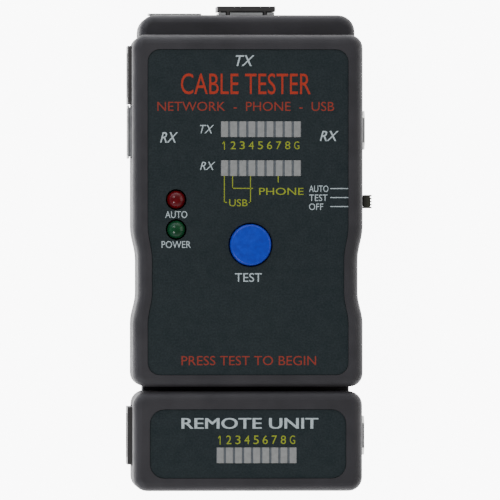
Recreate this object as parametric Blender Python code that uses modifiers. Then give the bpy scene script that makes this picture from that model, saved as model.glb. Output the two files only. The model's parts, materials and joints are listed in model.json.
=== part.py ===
"""Network cable tester: a main unit with its remote unit docked at the bottom end.

The tester lies on its back. +Z points out of the labelled front, +Y towards the transmit end and
+X to the right. The origin is on the rear face of the main unit, halfway along its front frame.
"""
import math

import bmesh
import bpy
from mathutils import Matrix

MM = 0.001

# Clearances
GAP = 0.3 * MM
BUTTON_GAP = 0.4 * MM

# Case of the main unit
CASE_WIDTH = 61.6 * MM
CASE_THICKNESS = 26.0 * MM
MAIN_LENGTH = 94.1 * MM
WALL = 2.0 * MM
FRONT_WALL = 1.5 * MM
PARTING_HEIGHT = 13.0 * MM
CASE_CORNER = 3.6 * MM
FRONT_FILLET = 2.3 * MM
REAR_FILLET = 1.8 * MM
LIP_THICKNESS = 0.8 * MM
LIP_HEIGHT = 1.2 * MM
WAIST_DEPTH = 1.35 * MM
WAIST_START = 51.2 * MM
WAIST_FULL = 60.2 * MM
WAIST_LEAVE = 69.0 * MM
WAIST_END = 77.2 * MM

# Port block behind the top of the front frame
HUMP_WIDTH = 57.9 * MM
HUMP_LENGTH = 5.4 * MM
HUMP_BELOW_FRONT = 5.5 * MM
HUMP_CORNER = 4.5 * MM
HUMP_FILLET = 2.0 * MM
HUMP_REAR_FILLET = 1.4 * MM

# Label set into the front
LABEL_RECESS = 1.0 * MM
LABEL_THICKNESS = 0.4 * MM
LABEL_MARGIN = 3.95 * MM
LABEL_TOP_MARGIN = 3.95 * MM
LABEL_BOTTOM_MARGIN = 3.1 * MM
LABEL_CORNER = 3.3 * MM
LABEL_WAIST_DEPTH = 1.15 * MM

# Remote unit
REMOTE_WIDTH = 61.3 * MM
REMOTE_LENGTH = 26.7 * MM
REMOTE_CORNER = 3.7 * MM
DOCK_SEAM = 1.2 * MM
REMOTE_LABEL_SIDE = 4.4 * MM
REMOTE_LABEL_TOP = 4.8 * MM
REMOTE_LABEL_BOTTOM = 3.4 * MM
REMOTE_LABEL_CORNER = 3.9 * MM

# Docking spigot under the main unit
SPIGOT_WIDTH = 55.6 * MM
SPIGOT_DEPTH = 5.0 * MM
SPIGOT_LOW = 4.0 * MM
SPIGOT_WALL = 1.5 * MM

# Circuit boards
PCB_THICKNESS = 1.6 * MM
PCB_BELOW_FRONT = 7.4 * MM
PCB_SIDE_GAP = 1.0 * MM
PCB_CORNER = 1.0 * MM
PCB_LENGTH = 59.9 * MM
PCB_TOP_GAP = 0.5 * MM

# Modular jacks
JACK_FLANGE_WIDTH = 15.6 * MM
JACK_FLANGE_HEIGHT = 13.2 * MM
JACK_FLANGE_THICKNESS = 1.4 * MM
JACK_BODY_WIDTH = 13.8 * MM
JACK_DEPTH = 15.5 * MM
JACK_BODY_TOP = 0.9 * MM
JACK_PLUG_WIDTH = 11.9 * MM
JACK_PLUG_TOP = 3.0 * MM
JACK_PLUG_HEIGHT = 7.0 * MM
JACK_PLUG_DEPTH = 11.5 * MM
JACK_LATCH_WIDTH = 6.2 * MM
JACK_LATCH_HEIGHT = 1.6 * MM
JACK_LATCH_DEPTH = 10.5 * MM
JACK_RIB_SPACING = 9.9 * MM
JACK_RIB_WIDTH = 0.6 * MM
JACK_RIB_LENGTH = 2.2 * MM
SHIELD_THICKNESS = 0.3 * MM
CONTACT_COUNT = 8
CONTACT_PITCH = 1.02 * MM
CONTACT_WIDTH = 0.45 * MM
CONTACT_LENGTH = 6.5 * MM
CONTACT_SPINE = 0.9 * MM
CONTACT_THICKNESS = 0.3 * MM
CONTACT_SLOPE = math.radians(13.0)

# Flat USB receptacles
USB_FLANGE_WIDTH = 14.3 * MM
USB_FLANGE_HEIGHT = 6.9 * MM
USB_FLANGE_THICKNESS = 0.5 * MM
USB_WIDTH = 13.2 * MM
USB_HEIGHT = 5.6 * MM
USB_WALL = 0.35 * MM
USB_DEPTH = 14.0 * MM
USB_SHORT_DEPTH = 8.6 * MM
USB_TONGUE_THICKNESS = 1.6 * MM
USB_BASE_DEPTH = 2.0 * MM
USB_TONGUE_SETBACK = 1.2 * MM

# Square USB receptacles
USB_B_WIDTH = 10.4 * MM
USB_B_HEIGHT = 9.9 * MM
USB_B_CHAMFER = 1.9 * MM
USB_B_WALL = 0.4 * MM
USB_B_DEPTH = 16.0 * MM
USB_B_POST_WIDTH = 5.6 * MM
USB_B_POST_HEIGHT = 3.2 * MM

# Where the ports sit: distance down from the top of the front frame, and how far they stand out
TX_JACK_OUT = 2.4 * MM
RX_JACK_DOWN = 10.6 * MM
RX_JACK_OUT = 1.0 * MM
RX_USB_DOWN = 25.9 * MM
RX_USB_OUT = 1.15 * MM
TX_USB_FROM_CENTRE = 19.2 * MM
TX_USB_OUT = 0.45 * MM
RX_USB_B_DOWN = 25.4 * MM
USB_B_OUT = 1.05 * MM
REMOTE_JACK_OUT = 1.25 * MM
REMOTE_PORT_DOWN = 12.0 * MM

# Rows of indicator lights
BAR_COUNT = 9
BAR_PITCH = 2.43 * MM
BAR_LENGTH = 21.6 * MM
BAR_WIDTH = 4.3 * MM
BAR_SEGMENT_WIDTH = 1.8 * MM
BAR_SEGMENT_MARGIN = 0.3 * MM
BAR_SEGMENT_HEIGHT = 0.3 * MM
BAR_CENTRE_X = 3.45 * MM
TX_BAR_DOWN = 25.3 * MM
RX_BAR_DOWN = 35.7 * MM
REMOTE_BAR_CENTRE_X = 2.3 * MM
REMOTE_BAR_DOWN = 17.1 * MM

# Round lights
LED_RADIUS = 2.5 * MM
LED_FLANGE_RADIUS = 2.9 * MM
LED_FLANGE_HEIGHT = 1.0 * MM
LED_PROUD = 1.2 * MM
LED_CENTRE_X = -19.2 * MM
AUTO_LED_DOWN = 44.1 * MM
POWER_LED_DOWN = 52.1 * MM

# Test button and its switch
BUTTON_RADIUS = 5.5 * MM
BUTTON_PROUD = 1.2 * MM
BUTTON_FLANGE = 1.2 * MM
BUTTON_FLANGE_THICKNESS = 0.8 * MM
BUTTON_CENTRE_X = 0.65 * MM
BUTTON_DOWN = 56.2 * MM
TACT_WIDTH = 7.3 * MM
TACT_HEIGHT = 2.6 * MM
TACT_FLOOR = 0.4 * MM
PLUNGER_RADIUS = 1.75 * MM
PLUNGER_HEIGHT = 2.0 * MM

# Slide switch
SWITCH_DOWN = 44.6 * MM
SWITCH_TRAVEL = 2.4 * MM
SWITCH_BODY = (6.0 * MM, 10.4 * MM, 3.7 * MM)
SWITCH_POCKET = 2.6 * MM
KNOB_LENGTH = 3.6 * MM
KNOB_HEIGHT = 3.4 * MM
KNOB_PROUD = 2.5 * MM
KNOB_RIBS = 5
KNOB_RIB_HEIGHT = 0.35 * MM
STEM_LENGTH = 2.4 * MM
STEM_HEIGHT = 1.8 * MM

# Battery, its snap and its leads
BATTERY_LENGTH = 46.4 * MM
BATTERY_WIDTH = 26.5 * MM
BATTERY_HEIGHT = 17.5 * MM
BATTERY_CORNER = 2.5 * MM
BATTERY_LEFT = 25.4 * MM
BATTERY_BOTTOM_MARGIN = 3.6 * MM
TERMINAL_SPACING = 12.7 * MM
TERMINAL_HEIGHT = 2.3 * MM
TERMINAL_RADII = (2.9 * MM, 3.8 * MM)
SNAP_LENGTH = 25.0 * MM
SNAP_HEIGHT = 12.5 * MM
SNAP_THICKNESS = 3.9 * MM
LEAD_RADIUS = 0.65 * MM

# Battery door
DOOR_WIDTH = 51.6 * MM
DOOR_LENGTH = 27.0 * MM
DOOR_THICKNESS = 1.7 * MM
DOOR_CORNER = 1.5 * MM
DOOR_RECESS = 0.3 * MM
DOOR_BOTTOM_MARGIN = 3.3 * MM
HOOK_WIDTH = 7.0 * MM
HOOK_LENGTH = 1.5 * MM
HOOK_THICKNESS = 0.8 * MM
HOOK_FROM_CENTRE = 14.0 * MM
STOP_WIDTH = 12.0 * MM
STOP_LENGTH = 0.9 * MM
STOP_THICKNESS = 1.0 * MM
GRIP_RIBS = 5
GRIP_PITCH = 1.6 * MM
GRIP_WIDTH = 0.7 * MM
GRIP_LENGTH = 12.0 * MM
GRIP_DEPTH = 0.4 * MM

# Screws and their bosses
BOSS_RADIUS = 2.6 * MM
POST_RADIUS = 3.6 * MM
POST_HEIGHT = 5.9 * MM
COUNTERBORE_DEPTH = 3.6 * MM
SCREW_HEAD_RADIUS = 2.5 * MM
SCREW_HEAD_HEIGHT = 1.2 * MM
SCREW_SHAFT_RADIUS = 1.25 * MM
SCREW_LENGTH = 10.0 * MM
PCB_SCREW_LENGTH = 4.6 * MM
PCB_POST_RADIUS = 2.2 * MM
CROSS_WIDTH = 0.7 * MM
CROSS_LENGTH = 2.8 * MM
CROSS_DEPTH = 0.7 * MM

# Fineness of the round stretches
CORNER_STEPS = 6
FILLET_STEPS = 4
WAIST_STEPS = 6
ROUND_SIDES = 24
HOLE_SIDES = 16
SCREW_SIDES = 12

# Levels and edges worked out from the sizes above
MAIN_TOP = MAIN_LENGTH / 2
MAIN_BOTTOM = -MAIN_LENGTH / 2
HUMP_TOP = MAIN_TOP + HUMP_LENGTH
HUMP_HIGH = CASE_THICKNESS - HUMP_BELOW_FRONT
REMOTE_TOP = MAIN_BOTTOM - DOCK_SEAM
REMOTE_BOTTOM = REMOTE_TOP - REMOTE_LENGTH
LABEL_FLOOR = CASE_THICKNESS - LABEL_RECESS
FRONT_INSIDE = LABEL_FLOOR - FRONT_WALL
LABEL_LOW = LABEL_FLOOR + GAP
LABEL_HIGH = LABEL_LOW + LABEL_THICKNESS
PCB_MARGIN = WALL + PCB_SIDE_GAP
PCB_HIGH = CASE_THICKNESS - PCB_BELOW_FRONT
PCB_LOW = PCB_HIGH - PCB_THICKNESS
PCB_TOP = MAIN_TOP - WALL - PCB_TOP_GAP
PCB_BOTTOM = PCB_TOP - PCB_LENGTH
ON_BOARD = PCB_HIGH + GAP
UNDER_BOARD = PCB_LOW - GAP
BATTERY_LOW = WALL + GAP + STOP_THICKNESS + GAP
BATTERY_BOTTOM = MAIN_BOTTOM + BATTERY_BOTTOM_MARGIN
DOOR_BOTTOM = MAIN_BOTTOM + DOOR_BOTTOM_MARGIN
DOOR_TOP = DOOR_BOTTOM + DOOR_LENGTH

# Screw places: from the centreline, and down from the top of the unit's own front. The lower
# pair of case screws stand just inside the waist.
WAIST_SCREW_X = CASE_WIDTH / 2 - WAIST_DEPTH - WALL - 2 * GAP - BOSS_RADIUS
CASE_SCREWS = ((-11.2 * MM, 14.8 * MM), (24.5 * MM, 8.8 * MM),
               (-WAIST_SCREW_X, 58.6 * MM), (WAIST_SCREW_X, 58.6 * MM))
PCB_SCREWS = ((16.0 * MM, 12.8 * MM), (-12.0 * MM, 57.8 * MM))
REMOTE_SCREWS = ((-10.0 * MM, 8.6 * MM), (10.0 * MM, 8.6 * MM))

# Small parts on the boards: centre from the middle, centre down from the top, width, length, height
CHIP_PLACES = {
    "controller_chip": (-17.0 * MM, 32.8 * MM, 7.5 * MM, 10.0 * MM, 2.3 * MM),
    "driver_chip": (21.5 * MM, 30.8 * MM, 6.0 * MM, 10.0 * MM, 1.8 * MM),
    "crystal": (-17.0 * MM, 23.8 * MM, 10.8 * MM, 4.5 * MM, 3.4 * MM),
}
CAPACITOR_PLACE = (5.0 * MM, 41.8 * MM)
CAPACITOR_RADIUS = 3.15 * MM
CAPACITOR_HEIGHT = 7.5 * MM
NETWORK_SIZE = (22.9 * MM, 2.5 * MM, 5.0 * MM)
NETWORK_DOWN = 20.8 * MM
REMOTE_NETWORK_DOWN = 17.8 * MM

# Colour, roughness and metallic value of each finish
FINISHES = {
    "case_grey": ((0.050, 0.047, 0.055), 0.45, 0.0),
    "label_green_black": ((0.014, 0.024, 0.027), 0.35, 0.0),
    "jack_black": ((0.012, 0.012, 0.013), 0.40, 0.0),
    "tin_plate": ((0.62, 0.62, 0.58), 0.28, 1.0),
    "gold_plate": ((0.83, 0.60, 0.24), 0.25, 1.0),
    "insert_white": ((0.72, 0.72, 0.70), 0.45, 0.0),
    "bar_grey": ((0.30, 0.31, 0.30), 0.40, 0.0),
    "led_red": ((0.20, 0.006, 0.012), 0.12, 0.0),
    "led_green": ((0.012, 0.12, 0.045), 0.12, 0.0),
    "button_blue": ((0.010, 0.060, 0.42), 0.35, 0.0),
    "board_green": ((0.010, 0.09, 0.035), 0.35, 0.0),
    "chip_black": ((0.010, 0.010, 0.011), 0.50, 0.0),
    "resistor_yellow": ((0.45, 0.30, 0.05), 0.50, 0.0),
    "zinc_steel": ((0.55, 0.55, 0.55), 0.30, 1.0),
    "cell_jacket": ((0.02, 0.02, 0.022), 0.35, 0.4),
    "snap_black": ((0.010, 0.010, 0.010), 0.60, 0.0),
    "wire_red": ((0.40, 0.010, 0.010), 0.50, 0.0),
    "wire_black": ((0.010, 0.010, 0.010), 0.50, 0.0),
    "knob_black": ((0.012, 0.012, 0.010), 0.50, 0.0),
}

# Turn an outline's extrusion, made along Z, to run along X or along Y
ALONG_X = Matrix(((0, 0, 1, 0), (1, 0, 0, 0), (0, 1, 0, 0), (0, 0, 0, 1)))
ALONG_Y = Matrix.Rotation(math.radians(90.0), 4, "X")


# ---------------------------------------------------------------- scene and helpers

def clear_scene():
    """Remove every object that the file opened with."""
    for obj in list(bpy.data.objects):
        bpy.data.objects.remove(obj, do_unlink=True)


def new_collection(name):
    collection = bpy.data.collections.new(name)
    bpy.context.scene.collection.children.link(collection)
    return collection


clear_scene()
TESTER = new_collection("network_cable_tester")
WORKSHOP = new_collection("cutters")


def finish_material(name):
    """The named finish as a Principled material, made once."""
    if name in bpy.data.materials:
        return bpy.data.materials[name]
    colour, roughness, metallic = FINISHES[name]
    material = bpy.data.materials.new(name)
    material.use_nodes = True
    shader = material.node_tree.nodes["Principled BSDF"]
    shader.inputs["Base Color"].default_value = (*colour, 1.0)
    shader.inputs["Roughness"].default_value = roughness
    shader.inputs["Metallic"].default_value = metallic
    return material


def new_object(name, data):
    """An object in the workshop, where pieces are shaped."""
    obj = bpy.data.objects.new(name, data)
    WORKSHOP.objects.link(obj)
    return obj


def keep(obj, name, finish):
    """Move a shaped piece into the tester under its own name and finish."""
    obj.name = name
    obj.data.name = name
    obj.data.materials.clear()
    obj.data.materials.append(finish_material(finish))
    if obj.type == "MESH":
        obj.data.shade_smooth()
        obj.data.set_sharp_from_angle(angle=math.radians(32.0))
    WORKSHOP.objects.unlink(obj)
    TESTER.objects.link(obj)
    return obj


def evaluated_mesh(obj):
    depsgraph = bpy.context.evaluated_depsgraph_get()
    return bpy.data.meshes.new_from_object(obj.evaluated_get(depsgraph))


def boolean(target, tools, operation):
    """Join or cut the tools into the target one after another, and remove the tools."""
    for tool in tools:
        modifier = target.modifiers.new(operation.title(), "BOOLEAN")
        modifier.operation = operation
        modifier.solver = "EXACT"
        modifier.object = tool
    mesh = evaluated_mesh(target)
    target.modifiers.clear()
    target.data = mesh
    for tool in tools:
        bpy.data.objects.remove(tool, do_unlink=True)
    return target


def join(target, *tools):
    return boolean(target, tools, "UNION")


def cut(target, *tools):
    return boolean(target, tools, "DIFFERENCE")


def set_origin(obj, point):
    """Put the object's origin on a point, such as its joint's axis, without moving its shape."""
    obj.data.transform(Matrix.Translation(point).inverted())
    obj.location = point
    return obj


def place(obj, frame):
    """Stand a piece that was shaped about the world's origin in another frame."""
    obj.matrix_world = frame
    return obj


# ---------------------------------------------------------------- shapes

def arc(centre_x, centre_y, radius, start, stop, steps):
    """Points along a circular arc, both ends included, with its angles in degrees."""
    points = []
    for step in range(steps + 1):
        angle = math.radians(start + (stop - start) * step / steps)
        points.append((centre_x + radius * math.cos(angle), centre_y + radius * math.sin(angle)))
    return points


def rounded_rectangle(left, low, right, high, radius):
    corners = ((right - radius, high - radius, 0), (left + radius, high - radius, 90),
               (left + radius, low + radius, 180), (right - radius, low + radius, 270))
    points = []
    for centre_x, centre_y, start in corners:
        points += arc(centre_x, centre_y, radius, start, start + 90, CORNER_STEPS)
    return points


def waist_share(down):
    """How much of the waist is reached at a distance down from the top of the frame."""
    if WAIST_START < down < WAIST_FULL:
        share = (down - WAIST_START) / (WAIST_FULL - WAIST_START)
    elif WAIST_LEAVE < down < WAIST_END:
        share = (WAIST_END - down) / (WAIST_END - WAIST_LEAVE)
    else:
        share = 1.0 if WAIST_FULL <= down <= WAIST_LEAVE else 0.0
    return (1 - math.cos(math.pi * share)) / 2


def waisted_rectangle(half_width, low, high, radius, depth):
    """A rounded rectangle, centred in X, whose long sides are drawn in along the grip."""
    stations = []
    for start, stop in ((WAIST_START, WAIST_FULL), (WAIST_LEAVE, WAIST_END)):
        stations += [start + (stop - start) * step / WAIST_STEPS for step in range(WAIST_STEPS + 1)]
    stations = [down for down in stations if MAIN_TOP - down > low + radius]
    side = [(half_width - depth * waist_share(down), MAIN_TOP - down) for down in stations]
    foot = half_width - depth * waist_share(MAIN_TOP - low - radius)
    points = arc(half_width - radius, high - radius, radius, 90, 0, CORNER_STEPS)
    points += side
    points += arc(foot - radius, low + radius, radius, 0, -90, CORNER_STEPS)
    points += [(-x, y) for x, y in reversed(points)]
    return points


def case_outline(inset):
    """The main unit's outline, drawn in by a distance."""
    radius = max(CASE_CORNER - inset, WALL / 2)
    return waisted_rectangle(CASE_WIDTH / 2 - inset, MAIN_BOTTOM + inset, MAIN_TOP - inset,
                             radius, WAIST_DEPTH)


def hump_outline(inset):
    """The port block's outline, run back into the main unit so that the two join."""
    half = HUMP_WIDTH / 2 - inset
    return rounded_rectangle(-half, MAIN_TOP - 3 * HUMP_CORNER, half, HUMP_TOP - inset,
                             HUMP_CORNER - inset)


def remote_outline(inset):
    half = REMOTE_WIDTH / 2 - inset
    radius = max(REMOTE_CORNER - inset, WALL / 2)
    return rounded_rectangle(-half, REMOTE_BOTTOM + inset, half, REMOTE_TOP - inset, radius)


def label_outline(inset):
    half = CASE_WIDTH / 2 - LABEL_MARGIN - inset
    return waisted_rectangle(half, MAIN_BOTTOM + LABEL_BOTTOM_MARGIN + inset,
                             MAIN_TOP - LABEL_TOP_MARGIN - inset, LABEL_CORNER - inset,
                             LABEL_WAIST_DEPTH)


def remote_label_outline(inset):
    half = REMOTE_WIDTH / 2 - REMOTE_LABEL_SIDE - inset
    return rounded_rectangle(-half, REMOTE_BOTTOM + REMOTE_LABEL_BOTTOM + inset, half,
                             REMOTE_TOP - REMOTE_LABEL_TOP - inset, REMOTE_LABEL_CORNER - inset)


def prism(outline, low, high, turn=None):
    """A flat outline made solid between two heights, then turned if asked."""
    curve = bpy.data.curves.new("outline", "CURVE")
    curve.dimensions = "2D"
    curve.fill_mode = "BOTH"
    curve.extrude = (high - low) / 2
    spline = curve.splines.new("POLY")
    spline.points.add(len(outline) - 1)
    for point, (x, y) in zip(spline.points, outline):
        point.co = (x, y, 0.0, 1.0)
    spline.use_cyclic_u = True
    drawn = new_object("outline", curve)
    mesh = evaluated_mesh(drawn)
    bpy.data.objects.remove(drawn, do_unlink=True)
    mesh.transform(Matrix.Translation((0.0, 0.0, (low + high) / 2)))
    if turn is not None:
        mesh.transform(turn)
    shape = bmesh.new()
    shape.from_mesh(mesh)
    bmesh.ops.remove_doubles(shape, verts=shape.verts, dist=1e-6)
    bmesh.ops.dissolve_limit(shape, angle_limit=math.radians(0.5), verts=shape.verts,
                             edges=shape.edges)
    bmesh.ops.recalc_face_normals(shape, faces=shape.faces)
    shape.to_mesh(mesh)
    shape.free()
    return new_object("prism", mesh)


def prism_y(outline, low, high):
    """An outline in X and Z made solid from y = low to y = high."""
    return prism(outline, -high, -low, ALONG_Y)


def box(low, high):
    """A box between two opposite corners."""
    shape = bmesh.new()
    bmesh.ops.create_cube(shape, size=1.0)
    size = [top - bottom for bottom, top in zip(low, high)]
    middle = [(top + bottom) / 2 for bottom, top in zip(low, high)]
    bmesh.ops.scale(shape, vec=size, verts=shape.verts)
    bmesh.ops.translate(shape, vec=middle, verts=shape.verts)
    mesh = bpy.data.meshes.new("box")
    shape.to_mesh(mesh)
    shape.free()
    return new_object("box", mesh)


def cylinder(x, y, radius, low, high, sides=HOLE_SIDES, turn=None):
    """A round bar along Z, then turned about the world's origin if asked."""
    shape = bmesh.new()
    bmesh.ops.create_cone(shape, cap_ends=True, segments=sides, radius1=radius, radius2=radius,
                          depth=high - low)
    bmesh.ops.translate(shape, vec=(x, y, (low + high) / 2), verts=shape.verts)
    mesh = bpy.data.meshes.new("cylinder")
    shape.to_mesh(mesh)
    shape.free()
    if turn is not None:
        mesh.transform(turn)
    return new_object("cylinder", mesh)


def turned(profile, sides=ROUND_SIDES):
    """A profile of (radius, height) points, top to bottom, spun about the Z axis."""
    mesh = bpy.data.meshes.new("profile")
    points = [(radius, 0.0, height) for radius, height in profile]
    edges = [(index, index + 1) for index in range(len(points) - 1)]
    mesh.from_pydata(points, edges, [])
    obj = new_object("turned", mesh)
    screw = obj.modifiers.new("Screw", "SCREW")
    screw.steps = sides
    screw.render_steps = sides
    screw.use_merge_vertices = True
    screw.merge_threshold = 1e-6
    mesh = evaluated_mesh(obj)
    obj.modifiers.clear()
    obj.data = mesh
    return obj


def round_rim(obj, height, radius):
    """Round the edges that lie at one height."""
    shape = bmesh.new()
    shape.from_mesh(obj.data)
    rim = [edge for edge in shape.edges
           if all(abs(vert.co.z - height) < 1e-6 for vert in edge.verts)]
    bmesh.ops.bevel(shape, geom=rim, offset=radius, offset_type="OFFSET", segments=FILLET_STEPS,
                    profile=0.5, affect="EDGES", clamp_overlap=False)
    shape.to_mesh(obj.data)
    shape.free()
    return obj


def round_long_edges(obj, radius, axis):
    """Round a box's four edges along one axis."""
    shape = bmesh.new()
    shape.from_mesh(obj.data)
    across = [index for index in range(3) if index != axis]
    chosen = []
    for edge in shape.edges:
        step = edge.verts[0].co - edge.verts[1].co
        if all(abs(step[index]) < 1e-7 for index in across):
            chosen.append(edge)
    bmesh.ops.bevel(shape, geom=chosen, offset=radius, offset_type="OFFSET",
                    segments=FILLET_STEPS, profile=0.5, affect="EDGES", clamp_overlap=False)
    shape.to_mesh(obj.data)
    shape.free()
    return obj


def stack(outlines, inset, low, heights):
    """The outlines, each drawn in by a distance and raised to its own height, as one solid."""
    pieces = [prism(outline(inset), low, high) for outline, high in zip(outlines, heights)]
    return join(pieces[0], *pieces[1:]) if len(pieces) > 1 else pieces[0]


def smooth_route(points, steps):
    """Points read from a smooth curve through a route's own points."""
    ends = [points[0]] + list(points) + [points[-1]]
    route = []
    for before, start, stop, after in zip(ends, ends[1:], ends[2:], ends[3:]):
        for step in range(steps):
            t = step / steps
            point = []
            for p, q, r, s in zip(before, start, stop, after):
                slope = (r - p) * t
                bend = (2 * p - 5 * q + 4 * r - s) * t ** 2
                twist = (3 * q - p - 3 * r + s) * t ** 3
                point.append(q + (slope + bend + twist) / 2)
            route.append(point)
    route.append(points[-1])
    return route


def tube(points, radius):
    """A round wire along a smooth route."""
    curve = bpy.data.curves.new("wire", "CURVE")
    curve.dimensions = "3D"
    curve.bevel_depth = radius
    curve.bevel_resolution = 2
    curve.use_fill_caps = True
    route = smooth_route(points, 4)
    spline = curve.splines.new("POLY")
    spline.points.add(len(route) - 1)
    for point, place_on_route in zip(spline.points, route):
        point.co = (*place_on_route, 1.0)
    return new_object("wire", curve)


# ---------------------------------------------------------------- case shells

def screw_places(places, top):
    return [(x, top - down) for x, down in places]


def front_shell_blank(outlines, heights, fillets):
    """A front half: rounded outside, hollow inside, with a rebate round its open edge."""
    low = PARTING_HEIGHT + GAP
    pieces = []
    for outline, high, fillet in zip(outlines, heights, fillets):
        pieces.append(round_rim(prism(outline(0.0), low, high), high, fillet))
    shell = join(pieces[0], *pieces[1:]) if len(pieces) > 1 else pieces[0]
    inside = [FRONT_INSIDE] + [high - WALL for high in heights[1:]]
    rebate_high = PARTING_HEIGHT + LIP_HEIGHT + GAP
    rebate_inset = WALL - LIP_THICKNESS - GAP
    cut(shell, stack(outlines, WALL, low - WALL, inside))
    return cut(shell, stack(outlines, rebate_inset, low - WALL, [rebate_high] * len(outlines)))


def rear_shell_blank(outlines, fillets):
    """A rear half: flat floor, rounded rim, with a lip that stands inside the front half."""
    pieces = [round_rim(prism(outline(0.0), 0.0, PARTING_HEIGHT), 0.0, fillet)
              for outline, fillet in zip(outlines, fillets)]
    shell = join(pieces[0], *pieces[1:]) if len(pieces) > 1 else pieces[0]
    lip_high = PARTING_HEIGHT + LIP_HEIGHT
    lip = stack(outlines, WALL - LIP_THICKNESS, PARTING_HEIGHT - WALL, [lip_high] * len(outlines))
    join(shell, lip)
    return cut(shell, stack(outlines, WALL, WALL, [lip_high + WALL] * len(outlines)))


def add_bosses(shell, places):
    """Screw bosses that hang from the inside of a front shell."""
    low = POST_HEIGHT + GAP
    bosses = [cylinder(x, y, BOSS_RADIUS, low, FRONT_INSIDE + FRONT_WALL / 2) for x, y in places]
    join(shell, *bosses)
    depth = COUNTERBORE_DEPTH + SCREW_LENGTH + GAP
    return cut(shell, *[cylinder(x, y, SCREW_SHAFT_RADIUS + GAP, 0.0, depth) for x, y in places])


def add_posts(shell, places):
    """Screw posts that stand on a rear shell's floor, counterbored from behind."""
    join(shell, *[cylinder(x, y, POST_RADIUS, WALL / 2, POST_HEIGHT) for x, y in places])
    for x, y in places:
        cut(shell, cylinder(x, y, SCREW_HEAD_RADIUS + GAP, -WALL, COUNTERBORE_DEPTH),
            cylinder(x, y, SCREW_SHAFT_RADIUS + GAP, 0.0, POST_HEIGHT + WALL))
    return shell


def bar_cutter(centre_x, centre_y):
    """A straight cut through the front for one row of lights."""
    half_length = BAR_LENGTH / 2 + GAP
    half_width = BAR_WIDTH / 2 + GAP
    return box((centre_x - half_length, centre_y - half_width, FRONT_INSIDE - WALL),
               (centre_x + half_length, centre_y + half_width, CASE_THICKNESS + WALL))


def front_cutters():
    """Everything that opens the main unit's front: two rows of lights, two round lights, a button."""
    low = FRONT_INSIDE - WALL
    high = CASE_THICKNESS + WALL
    led_radius = LED_RADIUS + GAP
    return [bar_cutter(BAR_CENTRE_X, MAIN_TOP - TX_BAR_DOWN),
            bar_cutter(BAR_CENTRE_X, MAIN_TOP - RX_BAR_DOWN),
            cylinder(LED_CENTRE_X, MAIN_TOP - AUTO_LED_DOWN, led_radius, low, high),
            cylinder(LED_CENTRE_X, MAIN_TOP - POWER_LED_DOWN, led_radius, low, high),
            cylinder(BUTTON_CENTRE_X, MAIN_TOP - BUTTON_DOWN, BUTTON_RADIUS + BUTTON_GAP, low, high,
                     ROUND_SIDES)]


def switch_slot():
    """The slot in the right-hand wall that the switch's stem travels in."""
    half_length = STEM_LENGTH / 2 + SWITCH_TRAVEL + GAP
    middle = ON_BOARD + SWITCH_BODY[2] / 2
    half_height = STEM_HEIGHT / 2 + GAP
    y = MAIN_TOP - SWITCH_DOWN
    return box((CASE_WIDTH / 2 - 2 * WALL, y - half_length, middle - half_height),
               (CASE_WIDTH / 2 + WALL, y + half_length, middle + half_height))


# ---------------------------------------------------------------- ports

def port_frame(x, y, angle):
    """A port's frame: its mouth at x, y facing turned +Y, and z = 0 just under the board."""
    return Matrix.Translation((x, y, UNDER_BOARD)) @ Matrix.Rotation(math.radians(angle), 4, "Z")


def jack_cutters(frame):
    """The hole that a modular jack's body and flange need in the case."""
    half = JACK_FLANGE_WIDTH / 2 + GAP
    body_half = JACK_BODY_WIDTH / 2 + GAP + SHIELD_THICKNESS + GAP
    low = -JACK_FLANGE_HEIGHT - GAP
    flange = box((-half, -JACK_FLANGE_THICKNESS - GAP, low), (half, WALL, GAP))
    body = box((-body_half, -JACK_DEPTH, low), (body_half, WALL, GAP))
    return [place(flange, frame), place(body, frame)]


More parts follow.
